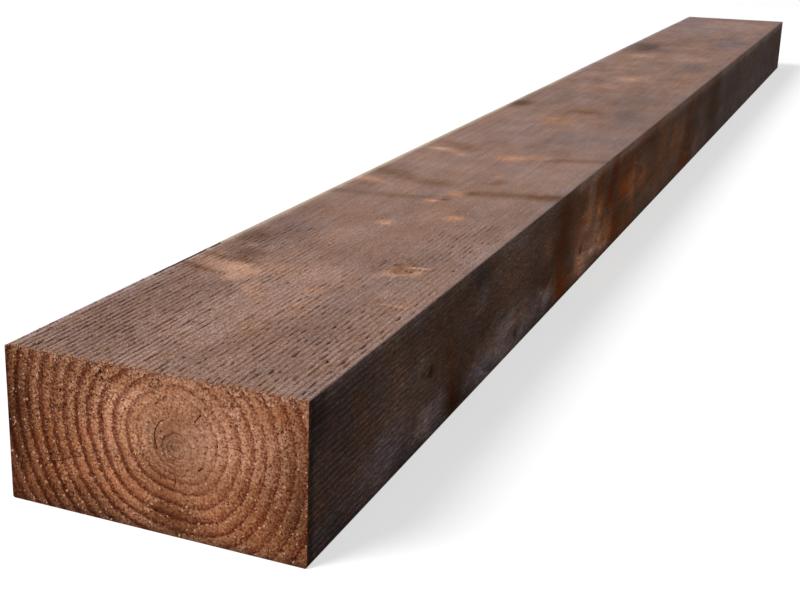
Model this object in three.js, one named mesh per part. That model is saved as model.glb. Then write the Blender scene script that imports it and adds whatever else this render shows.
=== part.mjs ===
// Softwood railway sleeper: one baulk of pine, sawn to a rectangular section and cross-cut square at both ends.
// Millimetres, +Z up. X runs across the sleeper and Y along the grain. The sleeper lies flat on its wide face,
// and the origin is on the ground under its middle.

import * as THREE from 'three';

// Driving dimensions.
const sleeperLength = 2400; // along the grain, the usual trade length
const sleeperWidth = 200; // the wide face, which lies on the ground
const sleeperThickness = 100; // the height of the section
const arrisRadius = 1.5; // the sawn arrises, eased by handling; the cross-cut ends stay sharp
const arrisSegments = 4; // facets round each quarter turn of an arris

const woodColour = 0x8b6d60; // brown pressure treatment on sawn pine
const woodRoughness = 0.75;

// The section in its own plane: X across the sleeper, Y up from the ground, drawn anticlockwise.
function sleeperSection() {
  const halfWidth = sleeperWidth / 2;
  const arrisX = halfWidth - arrisRadius; // centres of the four arris arcs
  const arrisLow = arrisRadius;
  const arrisHigh = sleeperThickness - arrisRadius;
  const quarterTurn = Math.PI / 2;

  const section = new THREE.Shape();
  section.moveTo(-arrisX, 0);
  section.lineTo(arrisX, 0);
  section.absarc(arrisX, arrisLow, arrisRadius, -quarterTurn, 0);
  section.lineTo(halfWidth, arrisHigh);
  section.absarc(arrisX, arrisHigh, arrisRadius, 0, quarterTurn);
  section.lineTo(-arrisX, sleeperThickness);
  section.absarc(-arrisX, arrisHigh, arrisRadius, quarterTurn, 2 * quarterTurn);
  section.lineTo(-halfWidth, arrisLow);
  section.absarc(-arrisX, arrisLow, arrisRadius, 2 * quarterTurn, 3 * quarterTurn);
  return section;
}

// The section drawn out along the grain. An extrusion grows along its own Z, so a quarter turn about X
// stands the section upright and lays its length along -Y.
function makeSleeper() {
  const geometry = new THREE.ExtrudeGeometry(sleeperSection(), {
    depth: sleeperLength,
    curveSegments: arrisSegments,
    bevelEnabled: false,
  });
  const material = new THREE.MeshStandardMaterial({
    color: woodColour,
    roughness: woodRoughness,
    metalness: 0,
  });
  const sleeper = new THREE.Mesh(geometry, material);
  sleeper.name = 'sleeper';
  sleeper.rotation.x = Math.PI / 2;
  sleeper.position.y = sleeperLength / 2;
  return sleeper;
}

const railwaySleeper = new THREE.Group();
railwaySleeper.add(makeSleeper());

export default railwaySleeper;
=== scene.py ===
# %% [markdown]
# # A railway sleeper, sawn from one spruce log
# The sleeper is a single baulk of softwood, 2.4 m long, 200 mm wide and 100 mm thick. It was sawn with the
# pith of the log still inside, cross-cut at both ends and pressure treated with a brown preservative.
# Nothing is fixed to it, so everything the eye finds is in the wood: rings on the ends, torn fibres on the
# faces, and the knots. The lesson builds one tree in numbers first, and then lets every face of the baulk
# show its cut through that tree.

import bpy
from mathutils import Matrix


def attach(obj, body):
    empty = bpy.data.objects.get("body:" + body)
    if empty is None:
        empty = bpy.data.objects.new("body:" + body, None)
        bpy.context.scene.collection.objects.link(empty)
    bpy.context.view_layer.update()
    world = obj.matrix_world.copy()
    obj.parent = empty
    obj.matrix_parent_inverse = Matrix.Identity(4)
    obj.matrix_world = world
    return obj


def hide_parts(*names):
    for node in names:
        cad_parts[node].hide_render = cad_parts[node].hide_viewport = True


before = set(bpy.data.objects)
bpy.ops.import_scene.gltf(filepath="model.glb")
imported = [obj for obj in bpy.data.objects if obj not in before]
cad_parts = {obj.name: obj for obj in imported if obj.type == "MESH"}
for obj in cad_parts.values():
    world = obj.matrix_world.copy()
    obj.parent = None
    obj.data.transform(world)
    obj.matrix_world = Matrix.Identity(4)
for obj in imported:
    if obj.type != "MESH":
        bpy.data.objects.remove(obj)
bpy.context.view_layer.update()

# %% [markdown]
# ## The camera
# A camera can be placed by eye, or worked out from a box of known size: where seven corners of the baulk
# should fall in the frame tells where the lens stands, how it is turned and how long it is. That was worked
# out once, and the answer is kept as plain numbers. The lens is 58 mm on a 36 mm sensor, held low beside
# the near end, so the far end shrinks to about a quarter of the near one. A small shift of the lens moves
# the baulk within the frame and leaves its perspective alone.

# %% Place the camera
import math

import bmesh
import bpy
import numpy as np
from mathutils import Matrix, Vector

CAMERA_PLACE = (0.36941, -1.77830, 0.36330)  # metres, from the ground under the middle of the sleeper
CAMERA_TURN = (1.28048, -0.01690, 0.42547)  # radians about X, Y and Z
LENS_MM = 57.98
LENS_SHIFT = (0.0876, -0.0336)  # right and up, as shares of the sensor's width
SENSOR_MM = 36.0

lens = bpy.data.cameras.new("camera")
lens.lens = LENS_MM
lens.sensor_width = SENSOR_MM
lens.shift_x, lens.shift_y = LENS_SHIFT
lens.clip_start = 0.01
camera = bpy.data.objects.new("camera", lens)
camera.location = CAMERA_PLACE
camera.rotation_euler = CAMERA_TURN
bpy.context.scene.collection.objects.link(camera)
bpy.context.scene.camera = camera
print("camera stands", round((camera.location - Vector((0, -1.2, 0.05))).length, 3), "m from the near end")

# %% [markdown]
# ## Colours and nodes
# Wood colours are easiest to choose as the hex values that a paint chart would give. The renderer works in
# linear light, so one function turns them. A second small function adds a shader node with its settings and
# links, which keeps every material below short enough to read. A third starts a material with an empty tree
# of nodes.

# %% Helpers for all the materials
def linear(hex_colour):
    """A hex colour as red, green, blue and alpha in linear light."""
    parts = [int(hex_colour[i : i + 2], 16) / 255 for i in (1, 3, 5)]
    return [c / 12.92 if c <= 0.04045 else ((c + 0.055) / 1.055) ** 2.4 for c in parts] + [1.0]


def add(tree, kind, inputs=None, **settings):
    """Adds one shader node. An input goes by name or number and gets a value, a node or a node's output."""
    made = tree.nodes.new("ShaderNode" + kind)
    for name, value in settings.items():
        setattr(made, name, value)
    usable = [s for s in made.inputs if s.enabled]
    for key, value in (inputs or {}).items():
        socket = usable[key] if isinstance(key, int) else next(s for s in usable if s.name == key)
        if isinstance(value, bpy.types.Node):
            value = next(s for s in value.outputs if s.enabled)
        if isinstance(value, bpy.types.NodeSocket):
            tree.links.new(value, socket)
        else:
            socket.default_value = value
    return made


def new_material(name):
    """A material without nodes, and its tree."""
    made = bpy.data.materials.new(name)
    made.use_nodes = True
    made.node_tree.nodes.clear()
    return made, made.node_tree


print("chart brown in linear light", [round(c, 3) for c in linear("#8B6D60")])

# %% [markdown]
# ## Studio light
# The top of the baulk is the brightest face, the cross-cut end is a little dimmer and the long right side
# falls into shade. One large soft lamp high on the left does that, with a weak even sky to open the shade.
# The lamp is broad, so the shadow on the floor has a soft edge, and it hangs far off, so both ends of the
# long baulk get the same light. At these strengths the top shows its colours about as they are written.

# %% Hang the lamp
LAMP_DIRECTION = Vector((-0.42, -0.60, 0.70))  # towards the lamp from the sleeper
LAMP_DISTANCE = 20.0  # metres
LAMP_SIZE = 8.7  # metres across
LAMP_POWER = 4335.0  # watts

lamp = bpy.data.lights.new("softbox", "AREA")
lamp.shape = "DISK"
lamp.size = LAMP_SIZE
lamp.energy = LAMP_POWER
softbox = bpy.data.objects.new("softbox", lamp)
softbox.location = LAMP_DIRECTION.normalized() * LAMP_DISTANCE
softbox.rotation_euler = LAMP_DIRECTION.to_track_quat("Z", "Y").to_euler()
bpy.context.scene.collection.objects.link(softbox)
print("lamp", LAMP_POWER, "W at", [round(v, 2) for v in softbox.location])

# %% [markdown]
# The sky that lights the baulk is dim, and yet the background has to be white. A world can tell its rays
# apart: those that come from the lens, from a gloss or through glass see a sky of strength 1, which is
# white, and all others get the dim one. The floor will need the same switch, so it is a helper.

# %% Fill from the sky
SKY_STRENGTH = 0.26


def seen_straight(tree):
    """A node that is 1 for rays from the lens, from a gloss or through glass, and 0 for all others."""
    rays = add(tree, "LightPath")
    seen = add(tree, "Math", {0: rays.outputs["Is Camera Ray"], 1: rays.outputs["Is Glossy Ray"]},
               operation="MAXIMUM")
    return add(tree, "Math", {0: seen, 1: rays.outputs["Is Transmission Ray"]}, operation="MAXIMUM")


sky = bpy.data.worlds.new("studio sky")
sky.use_nodes = True
tree = sky.node_tree
tree.nodes.clear()
dim = add(tree, "Background", {"Color": linear("#FFFFFF"), "Strength": SKY_STRENGTH})
white = add(tree, "Background", {"Color": linear("#FFFFFF"), "Strength": 1.0})
both = add(tree, "MixShader", {0: seen_straight(tree), 1: dim, 2: white})
add(tree, "OutputWorld", {"Surface": both})
bpy.context.scene.world = sky
bpy.context.scene.view_settings.view_transform = "Standard"
print("sky of strength", SKY_STRENGTH, "behind a white background")

# %% [markdown]
# ## The floor
# The floor is a plain pale sheet that reads as white paper. Seen straight, it is a pale matt surface with a
# little glow of its own, which lifts it to white and still leaves the soft shadow. To the light that
# bounces about it is a mid grey, so that it doesn't wash out the shaded side of the baulk. It is only a
# stage, and no part of the sleeper.

# %% Lay the floor
FLOOR_SIZE = 12.0  # metres
FLOOR_GLOW = 0.62  # with the lamp's light on it, this just reaches white
sheet = bmesh.new()
bmesh.ops.create_grid(sheet, x_segments=1, y_segments=1, size=FLOOR_SIZE / 2)
floor_mesh = bpy.data.meshes.new("floor")
sheet.to_mesh(floor_mesh)
sheet.free()
floor = bpy.data.objects.new("floor", floor_mesh)
bpy.context.scene.collection.objects.link(floor)

paper, tree = new_material("white paper floor")
grey = add(tree, "BsdfDiffuse", {"Color": linear("#8F8F8F")})
pale = add(tree, "BsdfDiffuse", {"Color": linear("#B4B4B4")})
glow = add(tree, "Emission", {"Color": linear("#FFFFFF"), "Strength": FLOOR_GLOW})
lit = add(tree, "AddShader", {0: pale, 1: glow})
both = add(tree, "MixShader", {0: seen_straight(tree), 1: grey, 2: lit})
add(tree, "OutputMaterial", {"Surface": both})
floor_mesh.materials.append(paper)
print("floor", FLOOR_SIZE, "m square")

# %% [markdown]
# ## The tree: where the pith runs
# The pith is the centre of the log. At the near end it sits 16 mm right of the middle and 58 mm up, and it
# wanders a few millimetres along the baulk, because no log is quite straight. Everything in this part of
# the lesson is in millimetres: x across the baulk, y along it from its middle, z up from the ground.

# %% The pith line and smooth random variation
HALF_LENGTH, HALF_WIDTH, THICKNESS = 1200.0, 100.0, 100.0
NEAR_PITH = np.array((15.9, 58.6))  # x and z on the near end


def waves(points, size, seed, count=16):
    """Smooth random variation, about -1 to 1, with features of a given size in mm: a sum of plane waves."""
    draw = np.random.default_rng(seed)
    total = np.zeros(len(points))
    for _ in range(count):
        way = draw.normal(size=3)
        way *= 2 * np.pi / (size * np.linalg.norm(way)) * draw.uniform(0.6, 1.4)
        total += np.sin(points @ way + draw.uniform(0, 2 * np.pi))
    return total * math.sqrt(2 / count) / 1.8


def pith(y):
    """The pith's x and z at a distance along the baulk."""
    far = (np.asarray(y) + HALF_LENGTH) / (2 * HALF_LENGTH)  # 0 at the near end, 1 at the far end
    x = NEAR_PITH[0] - 19.0 * far + 4.0 * np.sin(7.1 * far)
    z = NEAR_PITH[1] - 8.0 * far + 3.5 * np.sin(9.3 * far)
    return np.stack([x, z], -1)


print("pith at the far end", pith(HALF_LENGTH).round(1))

# %% [markdown]
# ## The tree: its rings
# Each year adds a pale band of earlywood and ends in a dark line of latewood. This log grew fast, about 8
# mm a year after a slow start. The rings aren't centred on the pith: the young tree leaned, so its first
# rings are wider on one side. Age is the one number that carries all of it. It counts years from the pith,
# and its whole numbers are the dark lines.

# %% Years from the pith
RING_RADII = [0, 2.8, 6, 10, 14.8, 19.8, 26.5, 33, 41.5, 50.7, 58.5, 66.9, 76, 84, 93, 102, 110.5, 118, 126]
# how far the centre of a ring lies from the pith, at these radii, all in mm
RING_CENTRE_AT = [0, 8, 25, 60, 110]
RING_SHIFT_X = [0.0, 1.1, 1.6, 0.1, 1.8]
RING_SHIFT_Z = [0.0, -4.0, 2.4, 2.6, 4.7]
OUT_OF_ROUND = [(2, 0.005, -0.011), (3, -0.013, -0.007), (5, 0.007, 0.013)]  # lobes, cosine part, sine part
ROUNDS = 8  # a point's ring decides the centre, which decides the ring, so this is repeated until it settles


def ring_age(points, bulge):
    """Age in years, radius and angle round the pith at each point. Bulge pushes the rings outwards, in mm."""
    across = points[:, [0, 2]] - pith(points[:, 1])
    radius = np.linalg.norm(across, axis=1)
    for _ in range(ROUNDS):
        shift = np.stack([np.interp(radius, RING_CENTRE_AT, RING_SHIFT_X),
                          np.interp(radius, RING_CENTRE_AT, RING_SHIFT_Z)], -1)
        radius = np.linalg.norm(across - shift, axis=1)
    angle = np.arctan2(across[:, 1] - shift[:, 1], across[:, 0] - shift[:, 0])
    round_by = 1 + sum(c * np.cos(k * angle) + s * np.sin(k * angle) for k, c, s in OUT_OF_ROUND)
    radius = radius / round_by + 0.35 * waves(points * (1, 0.08, 1), 26, 11) - bulge
    return np.interp(np.maximum(radius, 0), RING_RADII, np.arange(len(RING_RADII))), radius, angle


print("rings across the section", len(RING_RADII) - 1)

# %% [markdown]
# ## The tree: its branches
# Every knot is a branch that starts at the pith, leans a little up the trunk and gets thicker outwards.
# Spruce sets its branches in whorls, one a year, with small ones between. So each knot is entered by the
# face where it shows, its place there, the branch's radius and its look: pale and sound above 0, dark and
# dead below. The branch is then led back to the pith, and where it cuts a face at a slant the knot comes
# out long by itself.

# %% The branches, by the face they show on
# along from the near end, across from the left edge (or down from the top edge), radius, look
TOP_KNOTS = [
    (202, 46, 13, 1), (250, 156, 7.5, 0.8), (377, 91, 7, 0.8), (414, 137, 9, 0.75), (469, 98, 8, 0.4),
    (505, 109, 10.5, 0.6), (523, 20, 9, 0.9), (530, 182, 6, 0), (587, 123, 5, 0.5), (694, 27, 8, 0.9),
    (683, 113, 10, 0.9), (708, 151, 5, 0.2), (942, 127, 6, 0.8), (940, 83, 9, 0.6), (997, 108, 7, 0),
    (1227, 87, 9, 0.6), (1329, 97, 9, 0.7), (1623, 54, 10, 0.8), (1768, 38, 7, 0), (1899, 153, 8, 0),
    (2175, 91, 9, 0.4),
]
RIGHT_KNOTS = [
    (195, 50, 3.6, -0.9), (246, 88, 6, -0.5), (400, 87, 4.2, -0.7), (616, 70, 4, -0.5), (731, 25, 6, 0.1),
    (806, 46, 9, 0.6), (1099, 46, 7, 0.6), (1229, 60, 8, 0), (1650, 38, 8, -0.2), (2180, 60, 8, 0.3),
]
LEFT_KNOTS = [
    (204, 58, 9, 0.4), (262, 24, 5, -0.7), (412, 66, 7, 0.6), (530, 38, 10, 0.5), (714, 64, 11, -0.3),
    (972, 44, 9, 0.8), (1232, 70, 6, -0.8), (1347, 52, 10, 0.4), (1652, 30, 8, 0.7), (1905, 60, 11, -0.4),
    (2188, 44, 9, 0.6),
]
BED_KNOTS = [
    (198, 66, 12, 0.7), (236, 150, 6, -0.6), (402, 158, 9, 0.5), (527, 92, 13, 0.5), (712, 128, 10, -0.4),
    (968, 54, 12, 0.7), (1226, 140, 8, 0.4), (1345, 84, 12, 0.6), (1646, 120, 11, -0.2), (1902, 70, 10, 0.5),
    (2192, 110, 9, 0.8),
]
# places where the rings swell over a buried branch: x, y from the near end, z, height, half-length,
# half-width (none of these reaches a face, and only the bent ring lines show that it is there)
SWELLINGS = [
    (100, 396, -4, 24, 120, 46), (100, 664, 26, 10, 60, 30), (100, 910, 62, 5, 130, 34),
    (100, 1259, 30, 9, 80, 30),
    (-100, 420, 40, 12, 80, 34), (-100, 1120, 62, 10, 90, 30), (-100, 1710, 30, 11, 80, 34),
]
BRANCH_LEAN = math.radians(14)  # up the trunk, from square to the pith


def branch(place, radius, look):
    """A branch: its foot on the pith, its direction, its length to the face, its radius there, its look."""
    place = np.array(place, float)
    reach = np.linalg.norm(place[[0, 2]] - pith(place[1]))
    foot_y = place[1] - reach * math.tan(BRANCH_LEAN)
    foot_x, foot_z = pith(foot_y)
    foot = np.array((foot_x, foot_y, foot_z))
    length = np.linalg.norm(place - foot)
    return foot, (place - foot) / length, length, radius, look


BRANCHES = [branch((v - HALF_WIDTH, y - HALF_LENGTH, THICKNESS), r, k) for y, v, r, k in TOP_KNOTS]
BRANCHES += [branch((HALF_WIDTH, y - HALF_LENGTH, THICKNESS - v), r, k) for y, v, r, k in RIGHT_KNOTS]
BRANCHES += [branch((-HALF_WIDTH, y - HALF_LENGTH, THICKNESS - v), r, k) for y, v, r, k in LEFT_KNOTS]
BRANCHES += [branch((v - HALF_WIDTH, y - HALF_LENGTH, 0.0), r, k) for y, v, r, k in BED_KNOTS]
print(len(BRANCHES), "branches: top", len(TOP_KNOTS), "right", len(RIGHT_KNOTS), "left", len(LEFT_KNOTS),
      "bed", len(BED_KNOTS))

# %% [markdown]
# ## What the branches do to the wood
# Fibres part round a branch as a stream parts round a pile, and the rings swell outwards over it. Both are
# worked out for every point of the surface: how far the fibre that passes there was pushed aside, how far
# the rings bulge, and where the point lies inside or beside the nearest branch, counted in that branch's
# own radii.

# %% Grain flow, ring bulge and knot coordinates
REACH_ALONG = 260  # a branch changes nothing further along the baulk than this, in mm
NO_KNOT = 12.0  # radii from the nearest branch, for points that are near none
SWELL_ACROSS = 60  # half the width of a swelling across the baulk, in mm


def round_branches(points):
    """How far fibres are pushed, rings bulge, and where each point lies in or beside its nearest branch."""
    pushed = np.zeros_like(points)
    bulge = np.zeros(len(points))
    knot = np.tile((9.0, 9.0, 0.0), (len(points), 1))
    nearest = np.full(len(points), NO_KNOT)
    look = np.zeros(len(points))
    for number, (foot, way, length, face_radius, kind) in enumerate(BRANCHES):
        close = np.flatnonzero(np.abs(points[:, 1] - foot[1] - length * way[1]) < REACH_ALONG)
        away = points[close] - foot
        out = away @ way  # distance out along the branch
        side = np.cross(way, (0, 1, 0))
        side /= np.linalg.norm(side)
        lift = np.cross(side, way)
        along, beside = away @ lift, away @ side
        radius = face_radius * np.clip(out / length, 0.05, 1.4) ** 0.7
        there = 1 / (1 + np.exp(-(out - 6) / 4))  # a branch grows out of one side of the pith only
        spread = (along / 2.6) ** 2 + beside**2
        push = -beside * radius**2 / (spread + 0.35 * radius**2)
        push = push * np.exp(-((along / (9 * radius)) ** 2)) * there
        pushed[close] += 0.5 * push[:, None] * side
        swell = np.exp(-((along / 70) ** 2) - (beside / (2.4 * radius)) ** 2)
        bulge[close] += 0.5 * face_radius * there * swell
        reach = np.where(there > 0.5, np.hypot(along, beside) / radius, NO_KNOT)
        won = reach < nearest[close]
        here = close[won]
        nearest[here] = reach[won]
        knot[here] = np.stack([along / radius, beside / radius, np.full(len(along), number * 7.3)], -1)[won]
        look[here] = kind
    for x, y, z, height, half_length, half_width in SWELLINGS:
        away = (points - (x, y - HALF_LENGTH, z)) / (SWELL_ACROSS, half_length, half_width)
        bulge += height * np.exp(-(away**2).sum(axis=1))
    return pushed, bulge, knot, nearest, look


print("the widest branch is", 2 * max(b[3] for b in BRANCHES), "mm across")

# %% [markdown]
# ## The baulk
# One box becomes the whole baulk. The saw left the long faces in fine rows along the grain, a groove and a
# ridge every 4.3 mm, so the box is divided across into exactly two cells a row: one line of points lies in
# each groove and one on each ridge. Slices along the length lie close together at the near end and at each
# whorl of knots, and further apart between. The near end is then divided once more, because its rings and
# torn fibres are seen from closest. Operators do the dividing. All that is left to do is move the slices to
# their places.

# %% Divide a box into slices
ARRIS_RADIUS = 1.5
ARRIS_STEPS = [0.0, 0.75, 1.5]  # distances from a corner that get a line of points, for the rounded arris
ROWS_ACROSS, ROWS_UP, SLICES = 46, 23, 254
ROW_ACROSS_MM = (2 * HALF_WIDTH - 2 * ARRIS_RADIUS) / ROWS_ACROSS
ROW_UP_MM = (THICKNESS - 2 * ARRIS_RADIUS) / ROWS_UP
ARRIS_CELLS = 2 * (len(ARRIS_STEPS) - 1)


def edges_along(bm, axis):
    """The edges that run along an axis."""
    return [e for e in bm.edges if abs(e.verts[1].co[axis] - e.verts[0].co[axis]) > 1e-6]


bm = bmesh.new()
bmesh.ops.create_cube(bm, size=1.0)
for axis, cells in ((0, 2 * ROWS_ACROSS + ARRIS_CELLS), (2, 2 * ROWS_UP + ARRIS_CELLS), (1, SLICES)):
    bmesh.ops.subdivide_edges(bm, edges=edges_along(bm, axis), cuts=cells - 1, use_grid_fill=True)
print("box divided into", len(bm.faces), "faces; a row is", round(ROW_ACROSS_MM, 2), "mm wide")

# %% [markdown]
# The box's own slices are all equally far apart. To place them, a curve says how closely they are wanted at
# each half millimetre of the baulk, and its running total is shared out evenly. The rows across keep two
# extra lines at each edge for the rounded arris.

# %% Space the slices
def even_with_arris(width, rows):
    """Places across a face: two cells a row, and the extra lines for the arris at both edges."""
    inner = np.linspace(ARRIS_STEPS[-1], width - ARRIS_STEPS[-1], 2 * rows + 1)
    return np.concatenate([ARRIS_STEPS[:-1], inner, width - np.array(ARRIS_STEPS[-2::-1])])


def slice_places():
    """Places along the baulk, closest at the near end, near the second knot and at each branch."""
    fine = np.linspace(-HALF_LENGTH, HALF_LENGTH, 4801)  # every half millimetre
    from_near = fine + HALF_LENGTH
    wanted = 0.42 + 3.0 * np.exp(-((from_near / 110) ** 2)) + 1.8 * np.exp(-((from_near / 420) ** 2))
    wanted += 0.8 * np.exp(-(((from_near - 225) / 55) ** 2)) + 2.6 * np.exp(-(((from_near - 253) / 20) ** 2))
    for foot, way, length, *_ in BRANCHES:
        wanted += 0.12 * np.exp(-(((fine - foot[1] - length * way[1]) / 16) ** 2))
    wanted += 0.5 * np.exp(-((fine - HALF_LENGTH) / 40) ** 2)
    filled = np.concatenate([[0], np.cumsum((wanted[1:] + wanted[:-1]) / 2)])
    return np.interp(np.linspace(0, filled[-1], SLICES + 1), filled, fine)


PLACES = {
    0: even_with_arris(2 * HALF_WIDTH, ROWS_ACROSS) - HALF_WIDTH,
    1: slice_places(),
    2: even_with_arris(THICKNESS, ROWS_UP),
}
for vert in bm.verts:
    for axis, places in PLACES.items():
        vert.co[axis] = places[round((vert.co[axis] + 0.5) * (len(places) - 1))]
gaps = np.diff(PLACES[1])
print("slices from", gaps.min().round(1), "to", gaps.max().round(1), "mm apart")

# %% [markdown]
# The near end's own faces are cut in four. The bmesh is then turned into a mesh, and its points are read
# into one array, because what follows is worked out for all of them at once.

# %% Divide the near end once more and turn the box into a mesh
near_faces = [f for f in bm.faces if f.calc_center_median().y < -HALF_LENGTH + 0.01]
near_edges = list({e for f in near_faces for e in f.edges})
bmesh.ops.subdivide_edges(bm, edges=near_edges, cuts=1, use_grid_fill=True)
bmesh.ops.recalc_face_normals(bm, faces=bm.faces)
timber_mesh = bpy.data.meshes.new("sleeper_timber")
bm.to_mesh(timber_mesh)
bm.free()
places = np.empty(len(timber_mesh.vertices) * 3)
timber_mesh.vertices.foreach_get("co", places)
places = places.reshape(-1, 3)
print(len(timber_mesh.vertices), "points")

# %% [markdown]
# ## Eased arrises
# Handling takes the sharp corner off the four long arrises. The rows of points that were kept close to each
# corner are pulled onto an arc of 1.5 mm: inside the little corner square a point moves straight towards
# the arc's centre until the square's outline has become the arc.

# %% Round the long arrises
arc_x, arc_z = HALF_WIDTH - ARRIS_RADIUS, THICKNESS / 2 - ARRIS_RADIUS  # the arcs' centres, from the middle
corner = np.stack([np.abs(places[:, 0]) - arc_x,
                   np.abs(places[:, 2] - THICKNESS / 2) - arc_z], -1) / ARRIS_RADIUS
in_corner = corner.min(axis=1) > 0
drawn = corner[in_corner]
drawn = drawn * (drawn.max(axis=1) / np.linalg.norm(drawn, axis=1))[:, None]
side_x, side_z = np.sign(places[in_corner, 0]), np.sign(places[in_corner, 2] - THICKNESS / 2)
places[in_corner, 0] = side_x * (arc_x + drawn[:, 0] * ARRIS_RADIUS)
places[in_corner, 2] = THICKNESS / 2 + side_z * (arc_z + drawn[:, 1] * ARRIS_RADIUS)
print(in_corner.sum(), "points moved onto the arrises")

# %% [markdown]
# ## Reading the tree at every point
# The numbers worked out above are now asked for at each point of the surface. End faces and long faces are
# told apart by where the points lie, because the two look different: an end shows cut fibre ends, a side
# shows fibres lying flat.

# %% Sample the wood
AT_END, AT_FACE = 0.01, 0.8  # points this close to an end or to a long face, in mm, belong to it
sawn = places.copy()  # the clean sawn shape, before any relief
from_near = sawn[:, 1] + HALF_LENGTH
pushed, bulge, knot, knot_reach, knot_look = round_branches(sawn)
age, radius, angle = ring_age(sawn, bulge)
grain = sawn + pushed
grain[:, [0, 2]] -= (pith(sawn[:, 1]) - NEAR_PITH) * 0.5
on_near_end = from_near < AT_END
on_far_end = from_near > 2 * HALF_LENGTH - AT_END
on_end = on_near_end | on_far_end
on_top = sawn[:, 2] > THICKNESS - AT_FACE
on_bed = sawn[:, 2] < AT_FACE
on_right = sawn[:, 0] > HALF_WIDTH - AT_FACE
on_side = ~on_top & ~on_bed & ~on_end
from_left = sawn[:, 0] + HALF_WIDTH  # across the top
down = THICKNESS - sawn[:, 2]  # down a side or an end
print("oldest ring at the surface:", int(age.max()), "years")

# %% [markdown]
# ## Stains
# Preservative goes in unevenly. Resin round a knot keeps it out and leaves orange wood, thirsty wood beside
# it goes almost black, and the faces that lie open get a dusty bloom. A picture painted in an editor could
# hold all this. Here a stain is only a soft blob, or a soft stroke along a bent line, with two strengths:
# how much lighter and how much warmer it is. The strengths are logarithms, so stains that overlap multiply,
# as washes of colour do. On the right side the same blobs and strokes also carry painted shade and painted
# fill light.

# %% Two shapes of stain
SOFT_EDGE = 2.5  # the power of a stain's fall-off: flat in the middle, with a soft edge


def off_line(first, second, line):
    """How far each point of a face is from a bent line, in mm."""
    nearest = np.full(len(first), 1e3)
    for (a0, b0), (a1, b1) in zip(line, line[1:]):
        share = ((first - a0) * (a1 - a0) + (second - b0) * (b1 - b0)) / ((a1 - a0) ** 2 + (b1 - b0) ** 2)
        share = np.clip(share, 0, 1)
        gap = np.hypot(first - a0 - share * (a1 - a0), second - b0 - share * (b1 - b0))
        nearest = np.minimum(nearest, gap)
    return nearest


def stains(points, first, second, blobs, strokes):
    """How much lighter and warmer each point of a face is. Blobs and strokes have wavy edges."""
    lighter, warmer = np.zeros(len(points)), np.zeros(len(points))
    for a, b, half_a, half_b, light, warm in blobs:
        off_a = (first - a) / half_a + 0.25 * waves(points, 1.5 * half_a, 31)
        off_b = (second - b) / half_b + 0.25 * waves(points, 1.5 * half_b, 32)
        share = np.exp(-(np.hypot(off_a, off_b) ** SOFT_EDGE))
        lighter += light * share
        warmer += warm * share
    for line, half, light, warm in strokes:
        off = off_line(first, second, line) / half + 0.25 * waves(points, 3 * half, 33)
        share = np.exp(-(np.abs(off) ** SOFT_EDGE))
        lighter += light * share
        warmer += warm * share
    return lighter, warmer


print("stain shapes ready")

# %% [markdown]
# The top has pale wood round its knots, brown shadows beside them where the grain stands up, and a pale
# line along the left arris. Long faint washes near its edges come from the way it was stacked while it
# dried.

# %% Stains on the top
# y from the near end, distance from the left arris; half-sizes of both, in mm; lighter; warmer
TOP_BLOBS = [
    (58, 31, 90, 34, -0.20, 0.15), (87, 96, 110, 30, 0.20, -0.10), (76, 160, 110, 34, -0.05, 0.15),
    (184, 54, 8, 9, 0.50, 0.40), (240, 37, 16, 12, -0.55, 0.35), (249, 20, 14, 14, -0.25, 0.10),
    (283, 14, 26, 16, -0.40, 0.25), (169, 28, 12, 16, 0.00, 0.25), (170, 75, 10, 9, 0.20, 0.35),
    (158, 87, 9, 8, 0.25, 0.25), (182, 117, 7, 7, 0.10, 0.70), (215, 71, 16, 16, 0.10, 0.30),
    (224, 105, 22, 20, 0.15, 0.10), (308, 151, 26, 30, -0.05, -0.10), (322, 40, 50, 30, -0.25, -0.15),
    (180, 164, 6, 6, -0.10, 0.60), (197, 165, 8, 8, 0.25, 0.15), (251, 154.5, 8, 7.5, -0.25, 0.85),
    (252, 167, 8, 4, 0.45, 0.40), (376, 92, 7, 9, 0.35, 0.55), (415, 136, 9, 11, 0.35, 0.55),
    (469, 98, 10, 7, 0.50, 0.60), (502, 109, 12, 6, 0.15, 0.60), (478, 108, 6, 5, -0.55, 0.40),
    (509, 123, 8, 6, -0.35, 0.45), (526, 187, 12, 14, -0.30, 0.50), (564, 131, 12, 8, -0.40, 0.50),
    (698, 21, 9, 11, 0.50, 0.00), (678, 107, 18, 11, 0.30, 0.90), (691, 127, 14, 9, 0.20, 1.25),
    (591, 120, 10, 5, 0.10, 0.65), (625, 60, 60, 60, 0.10, -0.10), (619, 160, 60, 50, 0.15, -0.30),
    (700, 142, 7, 4, 0.35, 0.20), (805, 40, 60, 50, 0.10, -0.20), (815, 150, 70, 60, -0.05, -0.35),
    (939, 86, 24, 26, 0.10, 0.55), (950, 130, 12, 14, 0.10, 0.35), (1007, 106, 22, 22, -0.45, 0.95),
    (1036, 13, 26, 16, -0.95, 0.50), (971, 165, 60, 30, -0.25, -0.35), (1123, 39, 70, 50, -0.05, -0.25),
    (1132, 140, 90, 50, -0.25, -0.15), (1228, 85, 34, 26, 0.15, 0.35), (1326, 97, 40, 26, 0.30, 0.30),
    (1370, 29, 30, 26, 0.15, -0.05), (1356, 172, 40, 24, -0.10, 0.20), (1496, 165, 60, 30, -0.30, -0.25),
    (1482, 59, 70, 40, 0.05, -0.05), (1624, 49, 36, 34, 0.30, 0.30), (1620, 140, 50, 40, 0.25, -0.05),
    (1758, 36, 80, 30, -0.75, -0.40), (1909, 155, 90, 26, -0.20, -0.70), (1881, 89, 120, 34, -0.10, 0.05),
    (2070, 58, 120, 60, 0.10, -0.40), (2228, 130, 120, 60, 0.25, -0.25), (2279, 37, 90, 40, 0.05, -0.50),
]
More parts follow.
